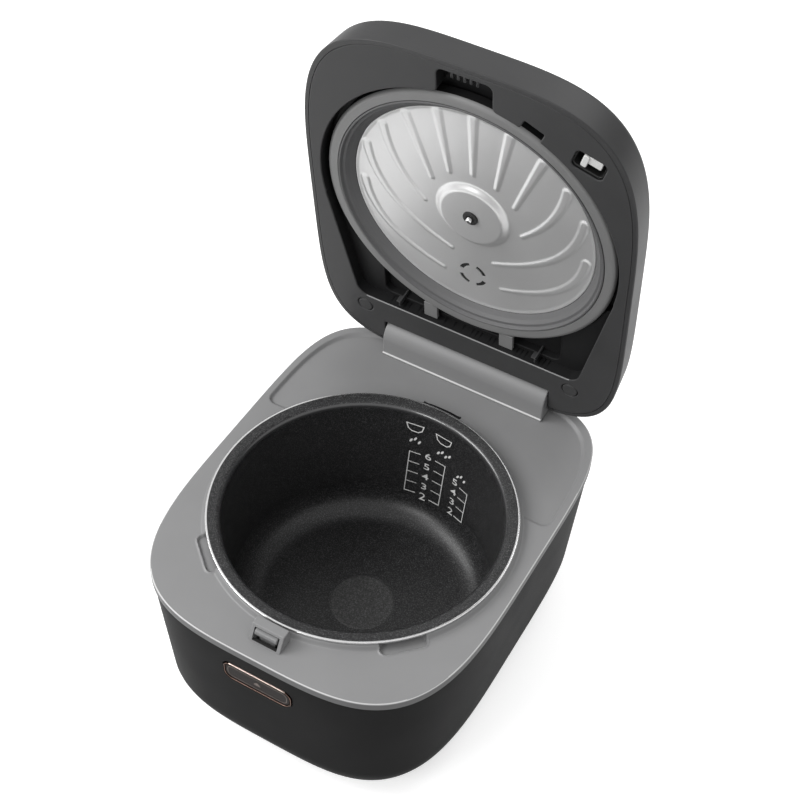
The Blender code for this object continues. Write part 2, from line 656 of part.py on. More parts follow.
def steam_cap(lid):
    place = (0.0, STEAM_Y, LID_TOP)
    top = extrude(rounded(50.0, 34.0, 10.0, (0.0, STEAM_Y)), LID_TOP + GAP, LID_TOP + 4.0, "z")
    cap = piece("steam_cap", top, "black_casing", lid, place)
    neck = turned([(12.2, LID_TOP - 2.6), (12.2, LID_TOP + 1.0)], (0.0, STEAM_Y), count=32)
    combine(cap, neck, lid, "UNION")
    rows = [STEAM_Y + y for y in (-5.0, 0.0, 5.0)]
    slots = [box((-9.0, 9.0), (y - 1.2, y + 1.2), (10.0, 50.0)) for y in rows]
    combine(cap, together(*slots), lid)


def release_tab(lid):
    """The white tab that frees the inner lid: a finger pad with a short arm behind it."""
    pad = tab_block((-3.6, -0.6), (4.0, 9.6))
    tab = piece("release_tab", extrude(pad, -2.2, 5.0, "z"), "white_plastic", lid, (*TAB_CENTRE, 0.0))
    arm = tab_block((1.6, -2.4), (12.8, 6.0))
    combine(tab, extrude(arm, -1.2, 5.0, "z"), lid, "UNION")


def tab_block(centre, size):
    """The outline of a block placed in the tab window's own turned directions."""
    u, v = centre
    x = TAB_CENTRE[0] + u * cos(TAB_TURN) - v * sin(TAB_TURN)
    y = TAB_CENTRE[1] + u * sin(TAB_TURN) + v * cos(TAB_TURN)
    return rounded(*size, 0.6, (x, y), 1, TAB_TURN)


def main():
    clear_scene()
    root = empty("cooker", (0.0, POT_AXIS_Y, -FLOOR))
    pivot = empty("lid_pivot", (0.0, HINGE_Y, HINGE_Z), root, -radians(OPEN_ANGLE))
    body = {"empty": root, "drawn_at": (0.0, 0.0, 0.0)}
    lid = {"empty": pivot, "drawn_at": (0.0, HINGE_Y, HINGE_Z)}
    for make in (outer_shell, top_deck, latch_housing, latch, open_button, base):
        make(body)
    for make in (pot, heating, electrics, hinge):
        make(body)
    for make in (lid_cover, lid_frame, lid_insides, inner_lid, steam_cap, release_tab):
        make(lid)


main()
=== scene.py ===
"""The rice cooker's looks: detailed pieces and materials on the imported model's fixed frame.

Shapes are drawn in millimetres. Body pieces are drawn about the pot's axis with z = 0 at the top of
the pot's rim. Lid pieces are drawn in the same way with the lid shut, and LID turns them open.
"""

import json
from math import acos, atan2, cos, hypot, pi, radians, sin, sqrt, tan

import bmesh
import bpy
import numpy as np
from mathutils import Matrix, Vector, geometry


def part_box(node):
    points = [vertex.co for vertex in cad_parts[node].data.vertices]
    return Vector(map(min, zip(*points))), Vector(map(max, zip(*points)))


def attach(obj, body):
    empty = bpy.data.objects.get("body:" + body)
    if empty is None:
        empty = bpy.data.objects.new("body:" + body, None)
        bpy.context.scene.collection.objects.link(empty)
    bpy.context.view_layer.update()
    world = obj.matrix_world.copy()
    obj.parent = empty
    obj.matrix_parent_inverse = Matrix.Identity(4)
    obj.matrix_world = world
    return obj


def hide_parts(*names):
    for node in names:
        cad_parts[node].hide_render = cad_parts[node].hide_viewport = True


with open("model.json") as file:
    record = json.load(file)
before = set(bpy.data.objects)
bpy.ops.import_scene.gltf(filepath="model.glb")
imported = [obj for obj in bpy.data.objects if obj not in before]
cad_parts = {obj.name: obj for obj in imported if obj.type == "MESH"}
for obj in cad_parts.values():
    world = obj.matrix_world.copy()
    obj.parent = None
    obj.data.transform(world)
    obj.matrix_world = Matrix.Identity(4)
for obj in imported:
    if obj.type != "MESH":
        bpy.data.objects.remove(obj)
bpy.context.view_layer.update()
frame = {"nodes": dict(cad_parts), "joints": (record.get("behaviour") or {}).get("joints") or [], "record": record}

# Places and directions, from the frame
MM = 0.001
pot_low, pot_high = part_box("inner_pot")
AXIS_Y = (pot_low.y + pot_high.y) / 2
RIM_Z = pot_high.z
BODY = Matrix.Translation((0.0, AXIS_Y, RIM_Z)) @ Matrix.Scale(MM, 4)
hinge = next(j for j in frame["joints"] if j["name"] == "lid_hinge")
pivot = Vector(hinge["pos_m"])
opening = Matrix.Rotation(-radians(hinge["range_deg"][0]), 4, Vector(hinge["axis"]))
LID = Matrix.Translation(pivot) @ opening @ Matrix.Translation(-pivot) @ BODY
# Drawing planes: (u, v, height) to a front face, and to a cross-section extruded along X
FROM_FRONT = Matrix(((1, 0, 0, 0), (0, 0, -1, 0), (0, 1, 0, 0), (0, 0, 0, 1)))
FROM_BACK = Matrix(((-1, 0, 0, 0), (0, 0, 1, 0), (0, 1, 0, 0), (0, 0, 0, 1)))
FROM_SIDE = Matrix(((0, 0, 1, 0), (1, 0, 0, 0), (0, 1, 0, 0), (0, 0, 0, 1)))


def drawn_box(node):
    """A body node's box in drawing coordinates, as (x, y, z) pairs of (low, high)."""
    low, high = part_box(node)
    shift = (0.0, AXIS_Y, RIM_Z)
    return [((low[i] - shift[i]) / MM, (high[i] - shift[i]) / MM) for i in range(3)]


deck_x, deck_y, deck_z = drawn_box("top_deck")
shell_z = drawn_box("outer_shell")[2]
pot_x, pot_z = drawn_box("inner_pot")[::2]
well_z = drawn_box("inner_liner")[2]
hinge_y = drawn_box("hinge_cover")[1]
trim_x, trim_z = drawn_box("button_trim")[::2]

# Casing outline: a superellipse, blunter at the back
HALF_WIDTH = deck_x[1]
FRONT = -deck_y[0]
REAR = deck_y[1]
POWER_FRONT = 3.64
POWER_REAR = 5.1
MIDDLE_Y = (REAR - FRONT) / 2
OUTLINE_POINTS = 288

DECK_TOP = -6.0
DECK_BASE = deck_z[0]
DECK_EDGE = 0.9
SKIRT = DECK_BASE - 1.3
BASIN_DEPTH = 2.3
COLLAR_RADIUS = 109.9
COLLAR_TOP = -2.4
# Finger pockets: angle, distance of the middle, depth, and height of the lip
POCKETS = ((-131.5, 110.2, 1.4, 0.8), (-45.4, 110.2, 1.4, 0.8), (90.0, 111.6, 3.6, 0.0))
SHELL_ROUND = 36.0
SHELL_TAPER = 6.0
RIM_RADIUS = pot_x[1]
BORE = 98.8
POT_BASE = pot_z[0]
HINGE_Y = (pivot.y - AXIS_Y) / MM
HINGE_Z = (pivot.z - RIM_Z) / MM
BARREL = 15.4
FACE = -3.0
LID_TOP = 28.5
OPENING = 112.5
STEAM_Y = 62.0
HINGE_NOTCH = ((0.0, 172.5), (138.6, 60.0))
SCREW_COVER = (85.5, 131.0)
PANEL_Y = -50.0
DISPLAY_Y = -36.0
TAB_CENTRE = (85.0, -97.0)
TAB_TURN = radians(15.0)


# ---------------------------------------------------------------- outlines and solids

def outline_radius(angle, inset=0.0):
    """Distance from the pot's axis to the casing's outline, moved in by inset."""
    half_width = HALF_WIDTH - inset
    half_depth = (FRONT + REAR) / 2 - inset
    low = np.zeros_like(angle)
    high = np.full_like(angle, 300.0)
    for _ in range(40):
        r = (low + high) / 2
        along = r * np.sin(angle) - MIDDLE_Y
        power = np.where(along < 0, POWER_FRONT, POWER_REAR)
        reach = np.abs(r * np.cos(angle) / half_width) ** power + np.abs(along / half_depth) ** power
        low = np.where(reach < 1, r, low)
        high = np.where(reach < 1, high, r)
    return low


def outline(inset, z):
    angles = np.linspace(0.0, 2 * pi, OUTLINE_POINTS, endpoint=False)
    radii = outline_radius(angles, inset)
    return [(r * cos(a), r * sin(a), z) for r, a in zip(radii, angles)]


def outline_loop(inset):
    return [(x, y) for x, y, _ in outline(inset, 0.0)]


def circle(r, z=0.0, centre=(0.0, 0.0), count=192):
    turn = [2 * pi * i / count for i in range(count)]
    return [(centre[0] + r * cos(a), centre[1] + r * sin(a), z) for a in turn]


def disc(radius, centre=(0.0, 0.0), count=96):
    """A circle's flat loop."""
    return [p[:2] for p in circle(radius, 0.0, centre, count)]


def filleted(corners, steps=6, closed=True):
    """The points of an outline of (u, v, radius) corners, with each corner rounded by an arc."""
    points = []
    count = len(corners)
    for i, (u, v, radius) in enumerate(corners):
        if radius <= 0 or (not closed and i in (0, count - 1)):
            points.append((u, v))
            continue
        here = Vector((u, v))
        before = Vector(corners[i - 1][:2]) - here
        after = Vector(corners[(i + 1) % count][:2]) - here
        room = 0.49 * min(before.length, after.length)
        before.normalize()
        after.normalize()
        half = acos(max(-1.0, min(1.0, before.dot(after)))) / 2
        reach = min(radius / tan(half), room)
        round_by = reach * tan(half)
        centre = here + (before + after).normalized() * round_by / sin(half)
        first = here + before * reach - centre
        last = here + after * reach - centre
        start = atan2(first.y, first.x)
        sweep = (atan2(last.y, last.x) - start + pi) % (2 * pi) - pi
        for k in range(steps + 1):
            a = start + sweep * k / steps
            points.append((centre.x + round_by * cos(a), centre.y + round_by * sin(a)))
    return points


def rectangle(width, height, radius, centre=(0.0, 0.0), turn=0.0, steps=6):
    """A counterclockwise loop round a rectangle with round corners."""
    corners = [(0.5, -0.5), (0.5, 0.5), (-0.5, 0.5), (-0.5, -0.5)]
    points = filleted([(u * width, v * height, radius) for u, v in corners], steps)
    c = cos(turn)
    s = sin(turn)
    return [(centre[0] + u * c - v * s, centre[1] + u * s + v * c) for u, v in points]


def loft(rings, closed=False):
    """Skins a row of rings. Open rows get flat ends, and a closed row joins its last to its first."""
    count = len(rings[0])
    points = [p for ring in rings for p in ring]
    faces = []
    for j in range(len(rings) if closed else len(rings) - 1):
        here = j * count
        there = (j + 1) % len(rings) * count
        for i in range(count):
            k = (i + 1) % count
            faces.append((here + i, here + k, there + k, there + i))
    if not closed:
        faces.append(tuple(range(count))[::-1])
        faces.append(tuple(range(len(points) - count, len(points))))
    return points, faces


def turned(profile, centre=(0.0, 0.0), closed=False, count=192):
    """A round solid about a vertical axis from (radius, z) pairs."""
    return loft([circle(r, z, centre, count) for r, z in profile], closed)


def together(*shapes):
    """Several shapes as one list of points and faces."""
    points = []
    faces = []
    for shape_points, shape_faces in shapes:
        start = len(points)
        points += list(shape_points)
        faces += [tuple(start + i for i in face) for face in shape_faces]
    return points, faces


def moved_in(loop, amount):
    """A loop moved into its material, which lies on its left, by amount."""
    points = np.array(loop, float)
    edges = np.roll(points, -1, 0) - points
    edges /= np.maximum(np.linalg.norm(edges, axis=1), 1e-9)[:, None]
    sides = np.stack((-edges[:, 1], edges[:, 0]), 1)
    mean = sides + np.roll(sides, 1, 0)
    mean /= np.maximum(np.linalg.norm(mean, axis=1), 1e-9)[:, None]
    stretch = np.maximum(np.sum(mean * sides, 1), 0.6)
    return points + mean * (amount / stretch)[:, None]


def slab(loops, low, high, top=0.5, bottom=0.0, steps=5):
    """A plate between two heights, with its upper and lower edges rounded.

    Its loops have the material on their left: the outer one runs counterclockwise, and holes clockwise."""
    levels = []
    quarter = [pi / 2 * k / steps for k in range(steps + 1)]
    if bottom:
        levels.append((1.6 * bottom, low))
        levels += [(bottom * (1 - sin(a)), low + bottom * (1 - cos(a))) for a in quarter]
    else:
        levels.append((0.0, low))
    if top:
        levels += [(top * (1 - cos(a)), high - top * (1 - sin(a))) for a in quarter]
        levels.append((1.6 * top, high))
    else:
        levels.append((0.0, high))
    points = []
    faces = []
    rows = []
    for loop in loops:
        starts = []
        for amount, z in levels:
            starts.append(len(points))
            points += [(x, y, z) for x, y in moved_in(loop, amount)]
        rows.append(starts)
        count = len(loop)
        for here, there in zip(starts, starts[1:]):
            for i in range(count):
                k = (i + 1) % count
                faces.append((here + i, here + k, there + k, there + i))
    for level in (0, -1):
        places = [range(starts[level], starts[level] + len(loop)) for starts, loop in zip(rows, loops)]
        flat = [[Vector(points[i]) for i in place] for place in places]
        index = [i for place in places for i in place]
        faces += [tuple(index[i] for i in face) for face in geometry.tessellate_polygon(flat)]
    return points, faces


def hole(loop):
    """The loop the other way round, as a hole."""
    return list(reversed(loop))


def flare(loop, low, surface, radius, beyond=6.0, steps=5):
    """A cutter for a hole whose outer edge, at height surface, is rounded by radius."""
    rings = [(0.0, low)]
    for k in range(steps + 1):
        a = pi / 2 * k / steps
        rings.append((radius * (1 - cos(a)), surface - radius + radius * sin(a)))
    rings.append((radius, surface + beyond))
    return loft([[(x, y, z) for x, y in moved_in(loop, -grow)] for grow, z in rings])


# ---------------------------------------------------------------- contours of a field

def contours(field, half_width, low_y, high_y, step=0.9):
    """Closed loops round the places where field(x, y) is negative, with those on their left."""
    xs = np.arange(-half_width, half_width + step, step)
    ys = np.arange(low_y, high_y + step, step)
    values = field(*np.meshgrid(xs, ys, indexing="ij"))
    inside = values < 0
    total = inside[:-1, :-1].astype(int) + inside[1:, :-1] + inside[1:, 1:] + inside[:-1, 1:]
    links = {}
    for i, j in np.argwhere((total > 0) & (total < 4)):
        corners = [(i, j), (i + 1, j), (i + 1, j + 1), (i, j + 1)]
        signs = [inside[c] for c in corners]
        for k in range(4):
            if signs[k] and not signs[(k + 1) % 4]:
                enter = next(m % 4 for m in range(k + 3, k, -1) if not signs[m % 4] and signs[(m + 1) % 4])
                start = (corners[k], corners[(k + 1) % 4])
                end = (corners[(enter + 1) % 4], corners[enter])
                links[start] = end
    loops = []
    while links:
        start = here = next(iter(links))
        loop = []
        while here in links:
            a, b = here
            share = values[a] / (values[a] - values[b])
            loop.append((xs[a[0]] + (xs[b[0]] - xs[a[0]]) * share, ys[a[1]] + (ys[b[1]] - ys[a[1]]) * share))
            here = links.pop(here)
        loops.append(even(loop, step))
    return loops


def even(loop, spacing):
    """The loop with its points set an equal distance apart."""
    points = np.array(loop + loop[:1], float)
    along = np.concatenate(([0.0], np.cumsum(np.linalg.norm(np.diff(points, axis=0), axis=1))))
    count = max(8, int(along[-1] / spacing))
    wanted = np.linspace(0.0, along[-1], count, endpoint=False)
    x = np.interp(wanted, along, points[:, 0])
    y = np.interp(wanted, along, points[:, 1])
    smooth_x = (np.roll(x, 1) + 2 * x + np.roll(x, -1)) / 4
    smooth_y = (np.roll(y, 1) + 2 * y + np.roll(y, -1)) / 4
    return list(zip(smooth_x, smooth_y))


def in_outline(x, y, inset):
    """About the distance outside the casing's outline, moved in by inset."""
    half_width = HALF_WIDTH - inset
    half_depth = (FRONT + REAR) / 2 - inset
    along = y - MIDDLE_Y
    power = np.where(along < 0, POWER_FRONT, POWER_REAR)
    reach = np.abs(x / half_width) ** power + np.abs(along / half_depth) ** power
    return (reach ** (1 / power) - 1) * np.hypot(x, along)


def in_circle(x, y, radius, centre=(0.0, 0.0)):
    return np.hypot(x - centre[0], y - centre[1]) - radius


def in_box(x, y, centre, size, radius=0.0, turn=0.0):
    """Distance outside a rectangle with round corners."""
    dx = x - centre[0]
    dy = y - centre[1]
    u = np.abs(dx * cos(turn) + dy * sin(turn)) - size[0] / 2 + radius
    v = np.abs(dy * cos(turn) - dx * sin(turn)) - size[1] / 2 + radius
    return np.hypot(np.maximum(u, 0), np.maximum(v, 0)) + np.minimum(np.maximum(u, v), 0) - radius


def joined(a, b, blend=0.0):
    """The union of two fields, with a fillet where they meet."""
    if not blend:
        return np.minimum(a, b)
    u = np.maximum(blend - a, 0)
    v = np.maximum(blend - b, 0)
    return np.maximum(blend, np.minimum(a, b)) - np.hypot(u, v)


def shared(a, b, blend=0.0):
    """The intersection of two fields, with its corners rounded."""
    return -joined(-a, -b, blend)


# ---------------------------------------------------------------- pieces

def solid(name, shape, finish, place):
    """A new mesh object from points and faces in drawing coordinates."""
    points, faces = shape
    mesh = bpy.data.meshes.new(name)
    mesh.from_pydata([place @ Vector(p) for p in points], [], faces)
    work = bmesh.new()
    work.from_mesh(mesh)
    bmesh.ops.recalc_face_normals(work, faces=work.faces)
    work.to_mesh(mesh)
    work.free()
    mesh.materials.append(finish)
    made = bpy.data.objects.new(name, mesh)
    bpy.context.scene.collection.objects.link(made)
    return made


def carve(target, shape, place, operation="DIFFERENCE"):
    """Cuts a shape from target, or joins it on."""
    tool = solid("tool", shape, target.data.materials[0], place)
    modifier = target.modifiers.new("carve", "BOOLEAN")
    modifier.operation = operation
    modifier.object = tool
    modifier.solver = "EXACT"
    bpy.context.view_layer.update()
    result = bpy.data.meshes.new_from_object(target.evaluated_get(bpy.context.evaluated_depsgraph_get()))
    target.modifiers.clear()
    target.data = result
    bpy.data.objects.remove(tool)


def settle(made, body, slot, *nodes, sharp=38.0):
    """Shades a finished piece, puts it on its body, and hides the imported pieces it stands for."""
    made.data.shade_smooth()
    made.data.set_sharp_from_angle(angle=radians(sharp))
    weighted = made.modifiers.new("normals", "WEIGHTED_NORMAL")
    weighted.keep_sharp = True
    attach(made, body)
    if nodes:
        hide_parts(*nodes)
    return made


def paint(made, place, finish, test):
    """Gives the faces whose middles pass a test a finish of their own."""
    made.data.materials.append(finish)
    index = len(made.data.materials) - 1
    back = place.inverted()
    for face in made.data.polygons:
        if test(*(back @ face.center)):
            face.material_index = index


def piece(name, shape, place, body, slot, *nodes, finish=None):
    return settle(solid(name, shape, finish or FINISH[slot], place), body, slot, *nodes)


def cut(target, loops, low, high, place):
    """Cuts a square-edged block with the given loops from target."""
    carve(target, slab(loops, low, high, 0.0), place)


# ---------------------------------------------------------------- materials

def grained(name, colour, roughness, grain=0.0005, relief=0.00003, metallic=0.0, drift=0.08, coat=0.0,
            gleam=0.5):
    """A finish whose colour and roughness drift a little, over a fine bumpy grain. Sizes are in metres."""
    made = bpy.data.materials.new(name)
    made.use_nodes = True
    nodes = made.node_tree.nodes
    links = made.node_tree.links
    shader = nodes["Principled BSDF"]
    shader.inputs["Metallic"].default_value = metallic
    shader.inputs["Coat Weight"].default_value = coat
    shader.inputs["Specular IOR Level"].default_value = gleam
    place = nodes.new("ShaderNodeTexCoord")
    slow = nodes.new("ShaderNodeTexNoise")
    slow.inputs["Scale"].default_value = 22.0
    slow.inputs["Detail"].default_value = 4.0
    links.new(place.outputs["Object"], slow.inputs["Vector"])
    tint = nodes.new("ShaderNodeValToRGB")
    tint.color_ramp.elements[0].position = 0.3
    tint.color_ramp.elements[0].color = [c * (1 - drift) for c in colour] + [1.0]
    tint.color_ramp.elements[1].position = 0.7
    tint.color_ramp.elements[1].color = [min(1.0, c * (1 + drift)) for c in colour] + [1.0]
    links.new(slow.outputs["Fac"], tint.inputs["Fac"])
    links.new(tint.outputs["Color"], shader.inputs["Base Color"])
    fine = nodes.new("ShaderNodeTexNoise")
    fine.inputs["Scale"].default_value = 1 / grain
    fine.inputs["Detail"].default_value = 2.0
    links.new(place.outputs["Object"], fine.inputs["Vector"])
    gloss = nodes.new("ShaderNodeMapRange")
    gloss.inputs["To Min"].default_value = max(0.02, roughness - 0.06)
    gloss.inputs["To Max"].default_value = min(1.0, roughness + 0.06)
    links.new(slow.outputs["Fac"], gloss.inputs["Value"])
    links.new(gloss.outputs["Result"], shader.inputs["Roughness"])
    bump = nodes.new("ShaderNodeBump")
    bump.inputs["Distance"].default_value = relief
    links.new(fine.outputs["Fac"], bump.inputs["Height"])
    links.new(bump.outputs["Normal"], shader.inputs["Normal"])
    return made


def speckled(name, colour, fleck, roughness, size=0.0007, share=0.55):
    """A non-stick coating: dark, with pale flecks and a sandy surface."""
    made = grained(name, colour, roughness, size, 0.00006, 0.0, 0.15)
    nodes = made.node_tree.nodes
    links = made.node_tree.links
    shader = nodes["Principled BSDF"]
    dots = nodes.new("ShaderNodeTexNoise")
    dots.inputs["Scale"].default_value = 1 / size
    dots.inputs["Detail"].default_value = 3.0
    dots.inputs["Roughness"].default_value = 0.7
    place = next(n for n in nodes if n.type == "TEX_COORD")
    links.new(place.outputs["Object"], dots.inputs["Vector"])
    ramp = nodes.new("ShaderNodeValToRGB")
    ramp.color_ramp.elements[0].position = share
    ramp.color_ramp.elements[0].color = (*colour, 1.0)
    ramp.color_ramp.elements[1].position = min(0.98, share + 0.2)
    ramp.color_ramp.elements[1].color = (*fleck, 1.0)
    links.new(dots.outputs["Fac"], ramp.inputs["Fac"])
    links.new(ramp.outputs["Color"], shader.inputs["Base Color"])
    return made


def brushed(name, colour, roughness, along=(1.0, 1.0, 1.0), grain=0.0004, relief=0.000004):
    """Metal with fine lines that are long where along is small."""
    made = grained(name, colour, roughness, grain, relief, 1.0, 0.04)
    nodes = made.node_tree.nodes
    links = made.node_tree.links
    place = next(n for n in nodes if n.type == "TEX_COORD")
    stretch = nodes.new("ShaderNodeMapping")
    stretch.inputs["Scale"].default_value = along
    links.new(place.outputs["Object"], stretch.inputs["Vector"])
    fine = max((n for n in nodes if n.type == "TEX_NOISE"), key=lambda n: n.inputs["Scale"].default_value)
    links.new(stretch.outputs["Vector"], fine.inputs["Vector"])
    return made


RECIPES = {
    "black_casing": (grained, (0.0036, 0.0036, 0.0038), 0.5, 0.0006, 0.00004, 0.0, 0.08, 0.0, 0.03),
    "grey_plastic": (grained, (0.235, 0.235, 0.237), 0.44, 0.0007, 0.00002, 0.0, 0.03),
    "dark_grey_plastic": (grained, (0.052, 0.052, 0.054), 0.5, 0.0006, 0.00003),
    "light_grey_plastic": (grained, (0.24, 0.24, 0.24), 0.45, 0.0007, 0.00002, 0.0, 0.04),
    "white_plastic": (grained, (0.95, 0.95, 0.94), 0.35, 0.001, 0.00001, 0.0, 0.02),
    "black_rubber": (grained, (0.015, 0.015, 0.015), 0.75, 0.0004, 0.00004),
    "grey_silicone": (grained, (0.12, 0.12, 0.122), 0.55, 0.0009, 0.00002, 0.0, 0.05),
    "stainless": (grained, (0.68, 0.68, 0.68), 0.36, 0.0006, 0.000001, 0.45, 0.02),
    "aluminium": (brushed, (0.74, 0.74, 0.75), 0.38),
    "steel": (brushed, (0.55, 0.55, 0.56), 0.35, (0.05, 1.0, 1.0)),
    "non_stick": (speckled, (0.0095, 0.0095, 0.01), (0.11, 0.11, 0.112), 0.33, 0.00085, 0.49),
    "rose_gold": (brushed, (0.17, 0.112, 0.092), 0.26),
    "gloss_black": (grained, (0.012, 0.0105, 0.01), 0.26, 0.002, 0.000004, 0.0, 0.08, 0.1, 0.25),
    "display": (grained, (0.006, 0.008, 0.009), 0.18, 0.003, 0.000002, 0.0, 0.08, 0.15, 0.25),
    "circuit_board": (grained, (0.02, 0.12, 0.05), 0.5, 0.0012, 0.00005, 0.0, 0.2),
    "component": (grained, (0.06, 0.07, 0.28), 0.45, 0.0008, 0.00003),
    "brass": (brushed, (0.72, 0.56, 0.27), 0.28),
    "bare_rim": (brushed, (0.88, 0.88, 0.88), 0.22),
    # glossier coat, and a lighter colour that is a painted highlight along the pot's inner bend
    "polished_bend": (grained, (0.035, 0.035, 0.036), 0.24, 0.0007, 0.00001, 0.0, 0.08, 0.5, 0.8),
    "smooth_disc": (speckled, (0.034, 0.034, 0.034), (0.14, 0.14, 0.14), 0.36, 0.00085, 0.47),
    "pale_print": (grained, (0.8, 0.8, 0.79), 0.6, 0.0008, 0.00001, 0.0, 0.05),
    # painted highlight: a pale grey for the bright lines that light leaves on rounded edges
    "edge_grey": (grained, (0.55, 0.55, 0.55), 0.3, 0.0008, 0.00001, 0.0, 0.05),
    # painted shade: a darker grey for the deck's shaded side band
    "skirt_grey": (grained, (0.115, 0.115, 0.117), 0.46, 0.0007, 0.00002, 0.0, 0.03, 0.0, 0.3),
    # near-black, used both as painted shade in openings and for black parts
    "deep_black": (grained, (0.006, 0.006, 0.006), 0.6, 0.0006, 0.00003),
    "roller_grey": (grained, (0.19, 0.19, 0.192), 0.32, 0.0008, 0.00001),
    "button_brown": (grained, (0.013, 0.0092, 0.0082), 0.34, 0.0012, 0.000006, 0.0, 0.08, 0.0, 0.05),
    "button_print": (grained, (0.2, 0.155, 0.135), 0.45, 0.0008, 0.00001, 0.1),
    # painted highlight: a pale rose for the bright top edge of the button's trim
    "polished_rose": (brushed, (0.95, 0.76, 0.68), 0.3),
    "black_lid": (grained, (0.05, 0.05, 0.051), 0.46, 0.0006, 0.00004, 0.0, 0.08, 0.0, 0.25),
    "lid_grey": (grained, (0.058, 0.058, 0.059), 0.5, 0.0006, 0.00004, 0.0, 0.08, 0.0, 0.2),
    # painted highlight: a lighter grey for the lid face's rounded edge by the hinge recess
    "lid_edge": (grained, (0.24, 0.24, 0.242), 0.3, 0.0008, 0.00001),
    # painted shade: a near-black for recesses and hollows that lie in shade
    "recess_dark": (grained, (0.014, 0.014, 0.0145), 0.5, 0.0006, 0.00004, 0.0, 0.08, 0.0, 0.2),
    "floor": (grained, (0.86, 0.86, 0.86), 0.7, 0.01, 0.00002, 0.0, 0.005),
}
FINISH = {name: make(name, *settings) for name, (make, *settings) in RECIPES.items()}


def dress_frame():
    """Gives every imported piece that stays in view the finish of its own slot."""
    for row in frame["record"]["subparts"]:
        node = frame["nodes"][row["node"]]
        node.data.materials.clear()
        node.data.materials.append(FINISH[row["material_slot"]])


# ---------------------------------------------------------------- casing and deck

def casing():
    top = SKIRT
    centre = shell_z[0] + SHELL_ROUND
    wall = 2.5
    base_inset = SHELL_TAPER + SHELL_ROUND

    def inset(z):
        return 0.8 + (SHELL_TAPER - 0.8) * (top - z) / (top - centre)

    rings = [outline(inset(top) + 0.5, top), outline(inset(top) + 0.1, top - 0.2)]
    heights = np.linspace(top - 0.8, centre, 13)
    rings += [outline(inset(z), z) for z in heights]
    arc = [pi / 2 * k / 14 for k in range(1, 15)]
    rings += [outline(base_inset - SHELL_ROUND * cos(a), centre - SHELL_ROUND * sin(a)) for a in arc]
    inner = SHELL_ROUND - wall
    rings += [outline(base_inset - inner * cos(a), centre - inner * sin(a)) for a in reversed(arc[1::2])]
    rings += [outline(SHELL_TAPER + wall, centre), outline(inset(top) + wall, top)]
    made = solid("casing", loft(rings, closed=True), FINISH["black_casing"], BODY)
    middle = (trim_z[0] + trim_z[1]) / 2
    wide = trim_x[1] - trim_x[0] + 1.4
    tall = trim_z[1] - trim_z[0] + 1.4
    window = rectangle(wide, tall, 7.8, (0.0, middle), steps=12)
    surface = FRONT - inset(middle)
    carve(made, flare(window, surface - 9.0, surface + 0.2, 0.9), BODY @ FROM_FRONT)
    socket = rectangle(30.6, 24.6, 2.0, (0.0, -100.0))
    carve(made, flare(socket, REAR - 12.0, REAR - inset(-100.0) + 0.1, 0.5), BODY @ FROM_BACK)
    return settle(made, "body", "black_casing", "outer_shell")


def deck_height(x, y):
    """The deck's top: a collar round the pot, a drip basin behind it, and three finger pockets."""
    r = np.hypot(x, y)
    collar = smooth((113.4 - r) / (113.4 - COLLAR_RADIUS)) ** 1.6
    z = DECK_TOP + (COLLAR_TOP - DECK_TOP) * collar
    edge = in_outline(x, y, 5.2)
    rear = shared(edge, 55.0 - y, 8.0)
    wall = smooth(-rear / 2.6)
    deepening = 0.25 + 0.75 * smooth((r - 108.0) / 22.0)
    behind_collar = smooth((r - COLLAR_RADIUS) / 2.4)
    z = z - BASIN_DEPTH * wall * deepening * np.maximum(behind_collar, 0.0) * (y > 0)
    back_edge = smooth((y - 54.0) / 3.0)
    z = np.where((y > 0) & (rear < 0), z - back_edge * (1 - behind_collar) * 0.3, z)
    for degrees, reach, deep, raised in POCKETS:
        a = radians(degrees)
        away = in_box(x, y, (reach * cos(a), reach * sin(a)), (10.6, 32.0), 4.0, a)
        lip = np.exp(-((away - 0.7) / 0.6) ** 2) * raised * (r > COLLAR_RADIUS + 1.5)
        depth = smooth(-away / 0.9)
        z = z * (1 - depth) + (DECK_TOP - deep) * depth + lip
    return z


def smooth(t):
    t = np.clip(t, 0.0, 1.0)
    return t * t * (3 - 2 * t)


def on_deck_edge(x, y, z):
    """True on the upper part of the rounded edge round the deck."""
    away = float(in_outline(np.array(x), np.array(y), 0.0))
    return away > -DECK_EDGE and DECK_TOP - 0.4 * DECK_EDGE < z < DECK_TOP - 0.005


def on_skirt(x, y, z):
    """True on the band between the deck's rounded edge and the casing."""
    return z < DECK_TOP - DECK_EDGE and float(in_outline(np.array(x), np.array(y), 0.0)) > -0.3


def in_rear_pocket(x, y, z):
    return abs(x) < 15.8 and 109.6 < y < 116.8 and z < DECK_TOP + 1.0


def fine_angles():
    """Angles round the deck, closer together at the finger pockets and at the basin's front ends."""
    spots = [(pocket[0] % 360, 11.5) for pocket in POCKETS] + [(24.0, 9.0), (156.0, 9.0)]
    angles = []
    a = 0.0
    while a < 360.0:
        angles.append(radians(a))
        near = any(abs((a - s + 180) % 360 - 180) < w for s, w in spots)
        a += 0.3 if near else 1.0
    return np.array(angles)


